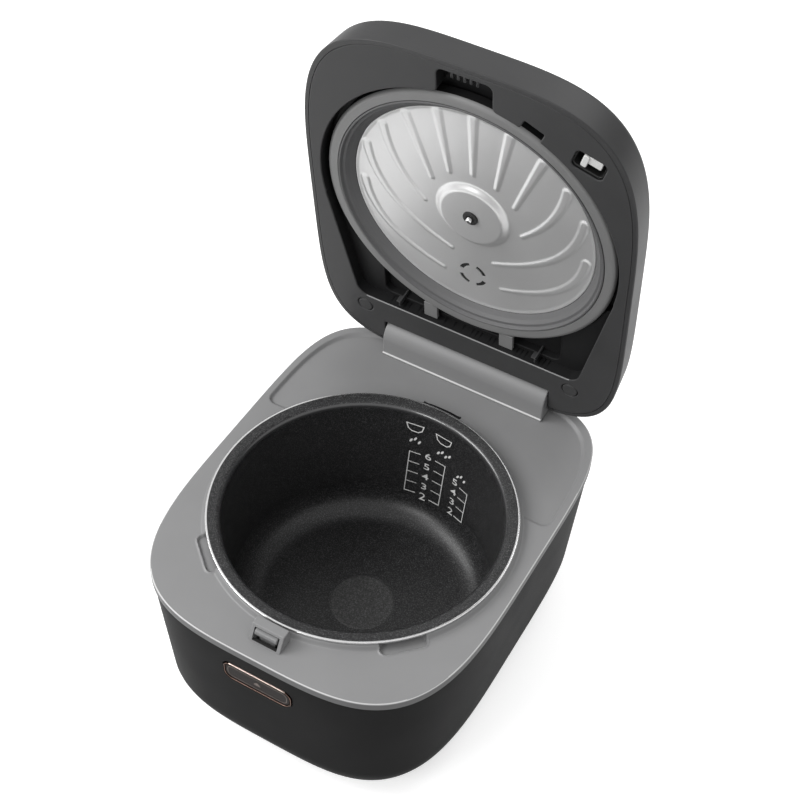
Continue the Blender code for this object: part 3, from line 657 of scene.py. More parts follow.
def deck():
    angles = fine_angles()
    rim = outline_radius(angles, DECK_EDGE)
    inner = 106.4
    count = 84
    spread = np.linspace(0.0, 1.0, count)
    shares = 0.55 * spread + 0.45 * (3 * spread**2 - 2 * spread**3)
    shares = shares**1.25
    rings = []
    for share in shares:
        r = inner + (rim - inner) * share
        x = r * np.cos(angles)
        y = r * np.sin(angles)
        rings.append(list(zip(x, y, deck_height(x, y))))
    edge_steps = [pi / 2 * k / 5 for k in range(1, 6)]
    edge = [(DECK_EDGE * (1 - sin(a)), DECK_TOP - DECK_EDGE * (1 - cos(a))) for a in edge_steps]
    edge += [(0.0, SKIRT + 0.7), (0.25, SKIRT + 0.2), (0.7, SKIRT)]
    edge += [(3.4, SKIRT), (3.6, DECK_BASE), (14.0, DECK_BASE)]
    for inset, z in edge:
        r = outline_radius(angles, inset)
        rings.append(list(zip(r * np.cos(angles), r * np.sin(angles), np.full_like(r, z))))
    bore = ((104.6, DECK_BASE), (104.2, DECK_BASE + 0.4), (104.2, COLLAR_TOP - 1.0), (105.2, COLLAR_TOP))
    for r, z in bore:
        rings.append([(r * cos(a), r * sin(a), z) for a in angles])
    made = solid("deck", loft(rings, closed=True), FINISH["grey_plastic"], BODY)
    cut(made, [rectangle(137.2, 31.0, 0.3, (0.0, 159.7))], DECK_TOP - BASIN_DEPTH - 0.1, 4.0, BODY)
    cut(made, [rectangle(17.0, 7.4, 0.4, (0.0, -120.1))], -15.0, 2.0, BODY)
    # painted highlight: the upper part of the deck's rounded edge is pale grey, standing in for the light it catches
    paint(made, BODY, FINISH["edge_grey"], on_deck_edge)
    # painted shade: the band between the deck's rounded edge and the casing is darker grey, for the shade on that side
    paint(made, BODY, FINISH["skirt_grey"], on_skirt)
    # painted shade: the rear finger pocket is near-black, for the shade inside it
    paint(made, BODY, FINISH["recess_dark"], in_rear_pocket)
    return settle(made, "body", "grey_plastic", "top_deck")


# ---------------------------------------------------------------- pot

def pot():
    corner = 26.0
    wall = 2.2
    outer_radius = BORE + wall
    outside = [(24.0, POT_BASE, 0.0), (outer_radius, POT_BASE, corner), (outer_radius, -6.0, 3.0)]
    outside += [(outer_radius + 3.0, -2.2, 2.0), (RIM_RADIUS - 0.3, -2.0, 0.5)]
    outer = filleted(outside, 12, False)
    lip = [(RIM_RADIUS - 0.9, -2.0, 0.0), (RIM_RADIUS, -2.0, 0.6), (RIM_RADIUS, 0.0, 0.6)]
    rim = filleted(lip + [(RIM_RADIUS - 1.4, 0.0, 0.0)], 5, False)
    inside = POT_BASE + wall
    bore = [(RIM_RADIUS - 1.4, 0.0, 0.0), (RIM_RADIUS - 3.0, -0.15, 1.0), (BORE + 0.6, -1.0, 4.2)]
    bore += [(BORE - 0.2, -20.0, 8.0), (BORE - 0.9, inside, corner - 2.0), (40.0, inside, 0.0)]
    inner = filleted(bore, 16, False)
    middle = [(24.6, inside), (24.2, inside + 0.15), (23.0, inside + 0.6)]
    profile = outer + rim[1:] + inner[1:] + middle
    made = solid("pot", turned(profile, count=256), FINISH["non_stick"], BODY)

    def on_rim(x, y, z):
        return hypot(x, y) > RIM_RADIUS - 1.45 and z > -3.0

    def on_disc(x, y, z):
        return hypot(x, y) < 24.5 and POT_BASE + 1.0 < z < -60.0

    def on_mouth(x, y, z):
        return BORE - 0.1 < hypot(x, y) < BORE + 2.2 and z > -7.0

    paint(made, BODY, FINISH["bare_rim"], on_rim)
    paint(made, BODY, FINISH["smooth_disc"], on_disc)
    # the bend into the pot is glossier, and lighter in colour as a painted highlight
    paint(made, BODY, FINISH["polished_bend"], on_mouth)
    return settle(made, "pot", "non_stick", "inner_pot")


def bore_radius(z):
    """The pot's inner radius at height z on its straight wall."""
    corner = 24.0
    below = max(0.0, POT_BASE + 2.2 + corner - z)
    return BORE - 0.25 - 0.7 * min(1.0, max(0.0, (-20.0 - z) / 80.0)) - corner + sqrt(corner**2 - below**2)


def on_wall(point):
    """Bends (mm along the wall from straight back, height, thickness) onto the inside of the pot."""
    u, v, w = point
    r = bore_radius(v) - w
    a = radians(90.0) - u / BORE
    return (r * cos(a), r * sin(a), v)


def stroke(start, end, width):
    """The counterclockwise loop of a thin bar between two places."""
    a = Vector(start)
    b = Vector(end)
    side = (b - a).orthogonal().normalized() * width / 2
    along = (b - a).normalized() * width / 2
    loop = [a - side - along, b - side + along, b + side + along, a + side - along]
    area = sum(p.x * q.y - q.x * p.y for p, q in zip(loop, loop[1:] + loop[:1]))
    return [tuple(p) for p in (loop if area > 0 else loop[::-1])]


def ellipse(centre, width, height, turn, count=20):
    points = []
    for i in range(count):
        a = 2 * pi * i / count
        u = width / 2 * cos(a)
        v = height / 2 * sin(a)
        points.append((centre[0] + u * cos(turn) - v * sin(turn), centre[1] + u * sin(turn) + v * cos(turn)))
    return points


def digit(text, centre, height):
    """A numeral's flat outline loops, filled, as points and faces."""
    curve = bpy.data.curves.new("numeral", "FONT")
    curve.body = text
    curve.size = height / 0.72
    curve.align_x = "CENTER"
    curve.extrude = 0.05
    curve.offset = 0.02
    curve.resolution_u = 4
    holder = bpy.data.objects.new("numeral", curve)
    bpy.context.scene.collection.objects.link(holder)
    bpy.context.view_layer.update()
    mesh = bpy.data.meshes.new_from_object(holder.evaluated_get(bpy.context.evaluated_depsgraph_get()))
    base = centre[1] - height / 2
    points = [(p.co.x * 1.22 + centre[0], p.co.y + base, p.co.z + 0.08) for p in mesh.vertices]
    faces = [tuple(face.vertices) for face in mesh.polygons]
    bpy.data.objects.remove(holder)
    return points, faces


def pot_scale():
    """The cup scale printed inside the pot: numerals between ladders, and a bowl and grains as headings."""
    shapes = []
    step = 12.25
    first = -45.3
    line = 0.72

    def mark(loop):
        shapes.append(slab([loop], 0.03, 0.13, 0.0))

    def bars(spine, lean, rung, levels, step):
        top = first - step * levels[0]
        low = first - step * levels[1]
        mark(stroke((spine, top), (spine + lean, low), line))
        for level in range(levels[0], levels[1] + 1):
            z = first - step * level
            at = spine + lean * (level - levels[0]) / (levels[1] - levels[0])
            mark(stroke((at, z), (at + rung, z), line))

    bars(-16.2, -2.9, 8.8, (0, 4), 11.8)
    bars(14.8, -3.1, -8.8, (0, 4), step)
    bars(39.0, -2.9, -8.4, (1, 4), step)
    for level, numeral in enumerate("65432"):
        shapes.append(digit(numeral, (-0.6 - 0.7 * level, first + 1.0 - step * level), 7.2))
    for level, numeral in enumerate("5432"):
        shapes.append(digit(numeral, (25.3 - 0.7 * level, first + 2.5 - step * (level + 1)), 7.2))
    for u, z, grains in ((-12.0, -31.0, 3), (13.0, -33.0, 4), (31.0, -45.5, 3)):
        for i in range(grains):
            at = (u + 3.4 * (i - (grains - 1) / 2), z + (1.3 if i % 2 else -1.3))
            mark(ellipse(at, 1.7, 4.4, radians(-28)))
    bowl = [(-7.0, -12.0), (7.0, -12.0), (5.6, -17.5), (2.6, -20.0), (-2.6, -20.0), (-5.6, -17.5)]
    for u, v in ((-12.5, -1.5), (12.0, -2.5)):
        loop = [(x + u, y + v) for x, y in bowl]
        for here, there in zip(loop, loop[1:] + loop[:1]):
            mark(stroke(here, there, 0.8))
    points, faces = together(*shapes)
    bent = [on_wall(p) for p in points]
    piece("pot_scale", (bent, faces), BODY, "pot", "light_grey_plastic", finish=FINISH["pale_print"])


# ---------------------------------------------------------------- latch, button and hinge

def box(x, y, z):
    """A block between pairs of x, y and z, for cutting."""
    loop = [(x[0], y[0]), (x[1], y[0]), (x[1], y[1]), (x[0], y[1])]
    return slab([loop], z[0], z[1], top=0.0)


def rod(y, z, radius, half, edge=0.0):
    """A rod along X, drawn for FROM_SIDE."""
    return slab([disc(radius, (y, z), 64)], -half, half, edge, edge)


def latch_housing():
    """The small turret in front of the pot: the latch's roller shows in its sloped front."""
    low = DECK_TOP + 0.2
    side = filleted([(-126.7, low, 0.0), (-113.6, low, 0.0), (-113.6, 5.7, 1.0), (-120.5, 5.7, 1.0)], 5)
    block = slab([side], -12.2, 12.4, 0.8, 0.8)
    made = solid("latch_housing", block, FINISH["grey_plastic"], BODY @ FROM_SIDE)
    cut(made, [rectangle(19.2, 9.0, 0.6, (0.0, -0.6))], 115.9, 140.0, BODY @ FROM_FRONT)
    carve(made, box((-9.4, 9.4), (-124.0, -115.9), (-12.0, 2.0)), BODY)

    def within(x, y, z):
        return abs(x) < 9.45 and y > -125.9 + 0.53 * (z + 5.8) and y < -115.8 and z < 3.7

    # painted shade: the inner walls of the housing's window are near-black, for the shade round the roller
    paint(made, BODY, FINISH["deep_black"], within)
    return settle(made, "body", "grey_plastic", "latch_housing")


def latch_lever():
    place = BODY @ FROM_SIDE
    made = solid("latch_lever", rod(-121.6, 0.3, 2.8, 8.6, 0.7), FINISH["roller_grey"], place)
    arm = [(-122.4, -100.0), (-119.6, -100.0), (-119.6, 0.3), (-122.4, 0.3)]
    carve(made, slab([arm], -6.0, 6.0, 0.3, 0.3), place, "UNION")
    carve(made, rod(-121.0, -100.0, 4.0, 6.0, 0.3), place, "UNION")
    carve(made, rod(-121.0, -100.0, 1.8, 9.0), place)
    return settle(made, "latch_lever", "dark_grey_plastic", "latch_lever")


def open_button():
    place = BODY @ FROM_FRONT
    middle = (0.0, (trim_z[0] + trim_z[1]) / 2)
    face = rectangle(50.8, 15.8, 6.1, middle, steps=12)
    made = solid("open_button", slab([face], 132.6, 137.0, 0.7), FINISH["button_brown"], place)
    carve(made, slab([rectangle(8.0, 6.0, 0.5, middle)], 122.8, 134.0, 0.0), place, "UNION")
    settle(made, "button", "gloss_black", "open_button")
    rim = [rectangle(53.4, 18.4, 7.3, middle, steps=12), hole(rectangle(51.2, 16.2, 6.2, middle, steps=12))]
    trim = solid("button_trim", slab(rim, 134.1, 137.6, 0.5), FINISH["rose_gold"], place)
    # painted highlight: the trim's upper outer edge is pale rose, standing in for the light it reflects
    paint(trim, BODY, FINISH["polished_rose"], lambda x, y, z: z > middle[1] + 8.55)
    settle(trim, "button", "rose_gold", "button_trim")
    line = [rectangle(46.8, 11.6, 4.4, middle, steps=12), hole(rectangle(46.2, 11.0, 4.1, middle, steps=12))]
    bar = [rectangle(5.0, 0.6, 0.2, (0.0, middle[1] - 1.3))]
    arrow = [[(-2.5, middle[1] - 0.3), (2.5, middle[1] - 0.3), (0.0, middle[1] + 1.6)]]
    marks = together(*(slab(loops, 137.0, 137.06, 0.0) for loops in (line, bar, arrow)))
    piece("button_marks", marks, place, "button", "rose_gold", finish=FINISH["button_print"])


def hinge_cover():
    """The barrel behind the basin, that hides the hinge's pin and springs."""
    floor = DECK_TOP - BASIN_DEPTH
    made = solid("hinge_cover", slab([barrel_side(BARREL, floor, 0.0)], -68.3, 68.3, 1.0, 1.0),
                 FINISH["grey_plastic"], BODY @ FROM_SIDE)
    cut(made, [barrel_side(BARREL - 2.4, floor - 5.0, 1.6)], -65.9, 65.9, BODY @ FROM_SIDE)
    carve(made, rod(HINGE_Y, HINGE_Z, 2.7, 90.0), BODY @ FROM_SIDE)
    front = HINGE_Y - BARREL

    def on_foot_line(x, y, z):
        return front - 0.88 < y < front - 0.02 and z > floor + 1.7

    # painted highlight: a pale grey line along the foot of the barrel's front
    paint(made, BODY, FINISH["edge_grey"], on_foot_line)
    return settle(made, "body", "grey_plastic", "hinge_cover")


def barrel_side(radius, floor, inward):
    """The barrel from the side: a plinth, an upright front, a round top and a flat back."""
    back = hinge_y[1] - inward
    reach = acos((back - HINGE_Y) / radius)
    arc = [reach + (pi - reach) * i / 40 for i in range(41)]
    top = [(HINGE_Y + radius * cos(a), HINGE_Z + radius * sin(a)) for a in arc]
    front = HINGE_Y - radius
    if inward:
        return [(front, floor), (back, floor)] + top
    return [(front - 0.9, floor), (back, floor)] + top + [(front, floor + 2.5), (front - 0.9, floor + 1.7)]


# ---------------------------------------------------------------- base, well and inlet

def base():
    low = shell_z[0]
    top = low + 2.8
    loops = [outline_loop(SHELL_TAPER + SHELL_ROUND + 0.3)]
    slots = (-40, -34, -28, -22, -16, 44, 50, 56, 62, 68)
    loops += [hole(rectangle(60.0, 3.2, 1.55, (0.0, y))) for y in slots]
    screws = [(66.0, 60.0), (-66.0, 60.0), (-66.0, -34.0), (66.0, -34.0)]
    loops += [hole(disc(3.7, at, 32)) for at in screws]
    piece("base_plate", slab(loops, low, top, 0.0, 0.5), BODY, "body", "black_casing", "base_plate")
    for number, at in enumerate(screws, 1):
        name = f"base_screw_{number}"
        head = [(3.1, low + 0.3, 0.0), (3.3, low + 1.0, 0.4), (3.2, low + 2.4, 0.2), (1.6, low + 2.6, 0.1)]
        profile = filleted(head + [(1.6, low + 11.0, 0.0)], 4, False)
        made = solid(name, turned(profile, at, count=32), FINISH["steel"], BODY)
        for size in ((3.6, 0.8), (0.8, 3.6)):
            cut(made, [rectangle(*size, 0.1, at, radians(20.0 * number))], low - 1.0, low + 1.4, BODY)
        settle(made, "body", "steel", name)
    feet = {"rear_right": (60, 98), "rear_left": (-60, 98)}
    feet |= {"front_left": (-60, -68), "front_right": (60, -68)}
    for name, at in feet.items():
        ground = (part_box(f"foot_{name}")[0].z - RIM_Z) / MM
        sole = [(5.0, ground + 0.8, 0.0), (5.6, ground, 0.3), (8.4, ground, 0.8)]
        profile = filleted(sole + [(9.4, low - 1.4, 0.6), (9.9, low - 0.2, 0.0)], 4, False)
        shape = turned(profile, at, count=48)
        piece(f"rubber_foot_{name}", shape, BODY, "body", "black_rubber", f"foot_{name}")


def well():
    """The bright well that the pot stands in, the hot plate, and the sensor in its middle."""
    top = well_z[1]
    flange = top - 1.2
    side = [(111.5, flange, 0.0), (111.5, top, 0.0), (103.8, top, 1.0), (103.8, -131.0, 9.0)]
    side += [(28.0, -131.0, 0.0), (28.0, -132.2, 0.0), (105.0, -132.2, 9.6), (105.0, flange, 0.0)]
    piece("well", turned(filleted(side, 10), closed=True), BODY, "body", "steel", "inner_liner")
    high = POT_BASE - 0.2
    ring = [(19.0, high - 8.0, 0.0), (84.0, high - 8.0, 1.0), (88.0, high - 4.0, 2.0)]
    ring += [(88.0, high - 0.9, 1.0), (86.6, high, 1.0), (70.6, high, 0.3), (70.0, high - 0.6, 0.2), (69.4, high, 0.3)]
    ring += [(44.6, high, 0.3), (44.0, high - 0.6, 0.2), (43.4, high, 0.3)]
    ring += [(19.8, high, 0.6), (19.0, high - 0.8, 0.3)]
    piece("hot_plate", turned(filleted(ring, 4), closed=True), BODY, "body", "aluminium", "heating_plate")
    sensor = [(6.0, -139.0, 0.0), (6.0, -124.5, 0.6), (15.5, -124.5, 0.5), (16.0, -118.0, 1.5)]
    sensor = filleted(sensor + [(14.5, high, 0.8), (0.5, high, 0.0)], 5, False)
    shape = turned(sensor, count=96)
    piece("temperature_sensor", shape, BODY, "sensor", "aluminium", "thermal_sensor")


def power_inlet():
    place = BODY @ FROM_BACK
    shell = rectangle(29.6, 23.6, 1.6, (0.0, -100.0))
    made = solid("inlet_housing", slab([shell], 139.0, 163.2, 0.6), FINISH["black_casing"], place)
    mouth = filleted([(12.4, -108.5, 1.2), (12.4, -95.5, 1.0), (8.6, -91.5, 1.0), (-8.6, -91.5, 1.0),
                      (-12.4, -95.5, 1.0), (-12.4, -108.5, 1.2)], 5)
    carve(made, flare(mouth, 146.0, 163.2, 0.6), place)
    settle(made, "body", "black_casing", "power_inlet")
    for name, x, z in (("live", -7.0, -102.6), ("neutral", 7.0, -102.6), ("earth", 0.0, -98.6)):
        blade = slab([rectangle(2.0, 4.0, 0.5, (-x, z))], 146.2, 160.0, 0.8)
        piece(f"inlet_blade_{name}", blade, place, "body", "brass", f"inlet_pin_{name}")


# ---------------------------------------------------------------- lid

def notch_side(radius, front):
    """The room that the lid leaves round the hinge barrel, from the side."""
    arc = [pi / 2 + pi / 2 * i / 24 for i in range(25)]
    curve = [(HINGE_Y + radius * cos(a), HINGE_Z + radius * sin(a)) for a in arc]
    back = REAR - 4.5
    corners = [(front, -30.0), (200.0, -30.0), (200.0, 40.0), (back, 40.0), (back, HINGE_Z + radius)]
    return corners + curve + [(front, HINGE_Z)]


def lid_shell():
    """The lid's outer shell: an upright wall, a soft shoulder and a slightly crowned top."""
    wall = [(3.3, FACE + 0.2, 0.0), (0.0, FACE + 0.2, 1.0), (1.2, 10.0, 30.0), (2.4, 21.6, 7.0)]
    wall += [(8.5, 25.9, 16.0), (22.0, 27.5, 40.0), (40.0, LID_TOP, 0.0)]
    outer = filleted(wall, 9, False)
    lining = [(3.3, FACE + 0.2, 0.0), (3.6, 10.0, 20.0), (5.4, 20.2, 5.0), (10.0, 23.0, 8.0)]
    inner = filleted(lining + [(40.0, LID_TOP - 2.4, 0.0)], 6, False)
    rings = [outline(inset, z) for inset, z in reversed(outer)]
    rings += [outline(inset, z) for inset, z in inner[1:]]
    made = solid("lid_shell", loft(rings), FINISH["black_lid"], LID)
    cut(made, [notch_side(BARREL + 0.9, 142.5)], -69.3, 69.3, LID @ FROM_SIDE)
    for side in (1, -1):
        carve(made, box(sorted((side * 69.0, side * 74.2)), (150.0, 163.2), (-10.0, 12.6)), LID)
    carve(made, flare(rectangle(105.0, 83.0, 8.5, (0.0, PANEL_Y)), LID_TOP - 0.9, LID_TOP, 0.3), LID)
    carve(made, flare(disc(13.0, (0.0, STEAM_Y)), 10.0, LID_TOP, 0.4), LID)
    return settle(made, "lid", "black_casing", "lid_outer_cover")


def frame_field(x, y):
    """Where the lid's inner face is: negative on it, positive outside it and in its openings."""
    ring = in_circle(x, y, OPENING, (0.0, -1.0))
    side = np.abs(x) * 0.978 + (y - 21.0) * 0.208 - 108.3
    rear = shared(shared(side, y - 119.4, 8.0), 21.0 - y)
    latch = in_box(x, y, (0.0, -114.0), (38.6, 34.6), 4.5)
    tooth_angle = radians(-66.7)
    tooth = in_box(x, y, (113.0 * cos(tooth_angle), 113.0 * sin(tooth_angle)), (16.6, 15.0), 0.6, tooth_angle)
    openings = joined(joined(ring, rear, 1.0), latch, 3.0)
    openings = np.minimum(openings, tooth)
    openings = np.minimum(openings, in_box(x, y, TAB_CENTRE, (22.0, 15.0), 3.5, TAB_TURN))
    openings = np.minimum(openings, in_box(x, y, *HINGE_NOTCH, 0.2))
    for side in (1, -1):
        openings = np.minimum(openings, in_circle(x, y, 6.5, (side * SCREW_COVER[0], SCREW_COVER[1])))
    return np.maximum(in_outline(x, y, 3.55), -openings)


def lid_face():
    loops = contours(frame_field, HALF_WIDTH, -FRONT, REAR, 0.7)
    made = solid("lid_face", slab(loops, FACE, 9.2, 0.0, 0.8), FINISH["lid_grey"], LID)
    carve(made, rod(HINGE_Y, HINGE_Z, 2.7, 72.7), LID @ FROM_SIDE)

    def deep_inside(x, y, z):
        return z > FACE + 1.0 and in_outline(np.array(x), np.array(y), 5.0) < 0

    def on_recess_edge(x, y, z):
        return abs(x) < 84.0 and 117.0 < y < 120.3 and FACE + 0.02 < z < FACE + 1.0

    # painted shade: the walls more than 5 mm inside the lid's outline are near-black
    paint(made, LID, FINISH["recess_dark"], deep_inside)
    # painted highlight: the rounded edge along the recess behind the inner lid is lighter grey
    paint(made, LID, FINISH["lid_edge"], on_recess_edge)
    return settle(made, "lid", "dark_grey_plastic", "lid_frame")


def lid_fittings():
    """The small things on the lid's inner face: catch, grip teeth, hooks, screw covers and the tab's tray."""
    lid = ("lid", "dark_grey_plastic")
    grey = FINISH["lid_grey"]
    catch = [slab([rectangle(38.0, 6.4, 0.8, (0.0, -128.1))], 5.2, 6.4, 0.0, 0.3)]
    for i in range(-2, 3):
        catch.append(slab([rectangle(1.8, 4.6, 0.4, (4.4 * i, -129.0))], FACE + 0.8, 5.1, 0.0, 0.5))
    piece("catch_plate", together(*catch), LID, *lid, "lid_catch", finish=grey)
    for name, x in (("right", 56.0), ("left", -56.0)):
        hook = together(slab([rectangle(1.3, 4.6, 0.4, (x, 115.6))], -1.6, 12.2, 0.0, 0.5),
                        slab([rectangle(4.2, 1.3, 0.4, (x - 2.2, 117.2))], 1.0, 12.2, 0.0, 0.4))
        piece(f"lid_hook_{name}", hook, LID, *lid, finish=grey)
    for name, side in (("right", 1), ("left", -1)):
        cap = [(0.4, FACE - 0.1, 0.0), (5.5, FACE - 0.1, 0.5), (6.0, FACE + 0.9, 0.3), (6.0, 2.0, 0.0)]
        cap = filleted(cap + [(3.0, 2.2, 0.0), (3.0, 8.0, 0.0)], 4, False)
        shape = turned(cap, (side * SCREW_COVER[0], SCREW_COVER[1]), count=64)
        piece(f"screw_cover_{name}", shape, LID, *lid, f"screw_cap_{name}", finish=grey)
    outer = rectangle(21.7, 14.7, 3.35, TAB_CENTRE, TAB_TURN)
    inner = rectangle(19.9, 11.6, 2.4, TAB_CENTRE, TAB_TURN)
    tray = together(slab([outer, hole(inner)], -1.4, 8.0, 0.0, 0.5), slab([outer], 8.1, 9.0, 0.0))
    # painted shade: the tray in the tab's recess is near-black
    piece("tab_tray", tray, LID, *lid, finish=FINISH["deep_black"])


def lid_floor():
    """The floor of the recess behind the inner lid: a ledge round a deeper middle."""
    def field(x, y):
        plate = in_outline(x, y, 5.6)
        notch = in_box(x, y, *HINGE_NOTCH, 0.2)
        duct = in_circle(x, y, 12.0, (0.0, STEAM_Y))
        return np.maximum(plate, -np.minimum(notch, duct))

    def ledge(x, y):
        side = np.abs(x) * 0.978 + (y - 21.0) * 0.208 - 109.0
        inside = shared(shared(side, y - 120.0, 8.0), 40.0 - y)
        middle = in_box(x, y, (0.0, 16.0), (144.0, 200.0), 6.0)
        return np.maximum(inside, -np.minimum(middle, in_circle(x, y, 110.5)))

    loops = contours(field, HALF_WIDTH, -FRONT, REAR, 1.2)
    # painted shade: the recess floor and its ledge are near-black, for the shade behind the inner lid
    dark = FINISH["recess_dark"]
    sheet = slab(loops, 12.5, 14.5, 0.0)
    piece("lid_floor", sheet, LID, "lid", "dark_grey_plastic", "lid_backing_plate", finish=dark)
    rim = slab(contours(ledge, 112.0, 30.0, 124.0, 0.6), 6.6, 12.4, 0.0, 0.7)
    piece("lid_ledge", rim, LID, "lid", "dark_grey_plastic", finish=dark)


# ---------------------------------------------------------------- inner lid

RIBS = (
    ((0.0, -87.7), (0.0, -38.2)), ((26.0, -83.8), (17.4, -33.2)), ((49.4, -71.6), (31.0, -21.5)),
    ((67.4, -54.0), (37.2, 3.0)), ((81.0, -31.0), (16.7, 41.4)), ((84.5, 4.5), (23.0, 65.4)),
)


def rib_height(x, y):
    """How far the pressed ribs stand up from the plate, each widest at its outer end."""
    height = np.zeros_like(x)
    count = 14
    for outer, inner in RIBS:
        reach = hypot(inner[0] - outer[0], inner[1] - outer[1])
        bend = ((outer[0] + inner[0]) / 2, (outer[1] + inner[1]) / 2)
        if outer[0] > 60:
            bend = (outer[0] * 0.93, outer[1] + 0.52 * reach)
        spine = []
        for t in np.linspace(0.0, 1.0, count + 1):
            u = (1 - t) ** 2 * outer[0] + 2 * t * (1 - t) * bend[0] + t * t * inner[0]
            v = (1 - t) ** 2 * outer[1] + 2 * t * (1 - t) * bend[1] + t * t * inner[1]
            spine.append((u, v))
        for side in ((1,) if outer[0] == 0 else (1, -1)):
            away = np.full_like(x, 99.0)
            for k, (here, there) in enumerate(zip(spine, spine[1:])):
                du = side * (there[0] - here[0])
                dv = there[1] - here[1]
                u = x - side * here[0]
                v = y - here[1]
                share = np.clip((u * du + v * dv) / (du * du + dv * dv), 0.0, 1.0)
                half = 4.4 - 1.7 * (k + share) / count
                away = np.minimum(away, np.hypot(u - share * du, v - share * dv) - half)
            height = np.maximum(height, smooth(-away / 2.7))
    return height


def plate_face(x, y):
    """The pressed plate's lower face."""
    r = np.hypot(x, y)
    boss = smooth((28.6 - r) / 6.0)
    rolled = smooth((r - 88.4) / 2.6)
    return 9.0 - 3.3 * boss - 0.7 * rib_height(x, y) * (1 - rolled) - 0.5 * rolled


def inner_plate():
    count = 720
    stretches = ((3.6, 20.0, 6), (21.4, 30.0, 12), (30.8, 91.0, 92))
    radii = np.concatenate([np.linspace(*stretch) for stretch in stretches])
    angles = np.linspace(0.0, 2 * pi, count, endpoint=False)
    faces = []
    for r in radii:
        x = r * np.cos(angles)
        y = r * np.sin(angles)
        faces.append((x, y, plate_face(x, y)))
    rings = [list(zip(x, y, z)) for x, y, z in faces]
    for r, z in ((91.0, 9.2), (88.6, 9.6), (29.6, 9.8), (21.0, 6.5), (3.6, 6.4)):
        rings.append([(r * cos(a), r * sin(a), z) for a in angles])
    made = solid("pressed_plate", loft(rings, closed=True), FINISH["stainless"], LID)
    for middle in (45, 135, 225, 315):
        sweep = [radians(middle - 28 + 56 * i / 16) for i in range(17)]
        edge = [(11.0 * cos(a), STEAM_Y + 11.0 * sin(a)) for a in sweep]
        edge += [(8.0 * cos(a), STEAM_Y + 8.0 * sin(a)) for a in reversed(sweep)]
        cut(made, [edge], 0.0, 15.0, LID)
    settle(made, "inner_lid", "stainless", "inner_lid_plate", sharp=50.0)
    valve = filleted([(0.5, 9.8, 0.0), (13.2, 9.8, 0.3), (13.2, 11.9, 0.6), (0.5, 11.9, 0.0)], 4, False)
    shape = turned(valve, (0.0, STEAM_Y), count=64)
    # a rubber seal behind the plate's slots, near-black as painted shade seen through them
    piece("steam_valve", shape, LID, "inner_lid", "black_rubber", finish=FINISH["deep_black"])


def inner_ring():
    """The ring that carries the inner lid's plate and seal, with its two tabs at the back."""
    def round_piece(name, corners, steps, count, slot, node):
        profile = filleted(corners[::-1], steps)
        piece(name, turned(profile, closed=True, count=count), LID, "inner_lid", slot, node)

    band = [(109.4, 8.2, 0.0), (109.4, 0.4, 3.4), (101.0, 0.7, 0.5), (101.0, 4.0, 0.0)]
    band += [(98.4, 4.2, 0.0), (92.4, 9.2, 0.0), (109.4, 9.2, 0.0)]
    shape = turned(filleted(band[::-1], 6), closed=True, count=256)
    made = solid("inner_lid_ring", shape, FINISH["light_grey_plastic"], LID)
    # painted shade: the upper part of the ring's outer wall is near-black
    paint(made, LID, FINISH["recess_dark"], lambda x, y, z: hypot(x, y) > 109.2 and z > 3.4)
    for side in (1, -1):
        tab = slab([rectangle(11.0, 14.6, 0.8, (side * 31.0, 111.6))], 1.4, 4.4, 0.4, 0.4)
        carve(made, tab, LID, "UNION")
    settle(made, "inner_lid", "light_grey_plastic", "seal_carrier")
    lip = [(100.9, 3.8, 0.0), (100.6, 0.3, 0.6), (99.2, 0.3, 0.6), (98.6, 2.8, 0.8), (96.6, 3.2, 0.8)]
    lip += [(94.6, 5.6, 1.0), (91.5, 8.2, 0.3), (91.4, 8.9, 0.0), (92.2, 9.0, 0.0), (98.2, 4.0, 0.0)]
    round_piece("seal_lip", lip, 5, 256, "grey_silicone", "seal_gasket")
    button = [(5.6, 5.5, 0.0), (5.6, 4.5, 0.5), (3.0, 4.2, 0.8), (2.2, 5.2, 0.3), (2.2, 7.2, 0.0)]
    button += [(3.4, 7.2, 0.0), (3.4, 5.5, 0.0)]
    round_piece("grommet", button, 4, 64, "black_rubber", "centre_grommet")
    pin = [(0.1, 1.6, 0.0), (1.9, 1.7, 0.9), (2.3, 4.2, 0.4), (1.5, 5.4, 0.3), (1.5, 12.2, 0.0)]
    shape = turned(filleted(pin, 5, False), count=32)
    piece("chrome_pin", shape, LID, "lid", "steel", "inner_lid_pin", finish=FINISH["bare_rim"])


def release_tab():
    def block(low_u, high_u, low_v, high_v, radius):
        u = (low_u + high_u) / 2
        v = (low_v + high_v) / 2
        x = TAB_CENTRE[0] + u * cos(TAB_TURN) - v * sin(TAB_TURN)
        y = TAB_CENTRE[1] + u * sin(TAB_TURN) + v * cos(TAB_TURN)
        return rectangle(high_u - low_u, high_v - low_v, radius, (x, y), TAB_TURN)

    grip = slab([block(-5.6, -1.5, -5.6, 4.3, 1.4)], -2.2, 5.0, 0.2, 0.5)
    made = solid("white_tab", grip, FINISH["white_plastic"], LID)
    carve(made, slab([block(-4.6, 7.6, -5.5, 0.5, 0.8)], -1.4, 4.8, 0.2, 0.5), LID, "UNION")
    return settle(made, "release_tab", "white_plastic", "release_tab")


# ---------------------------------------------------------------- lid's top

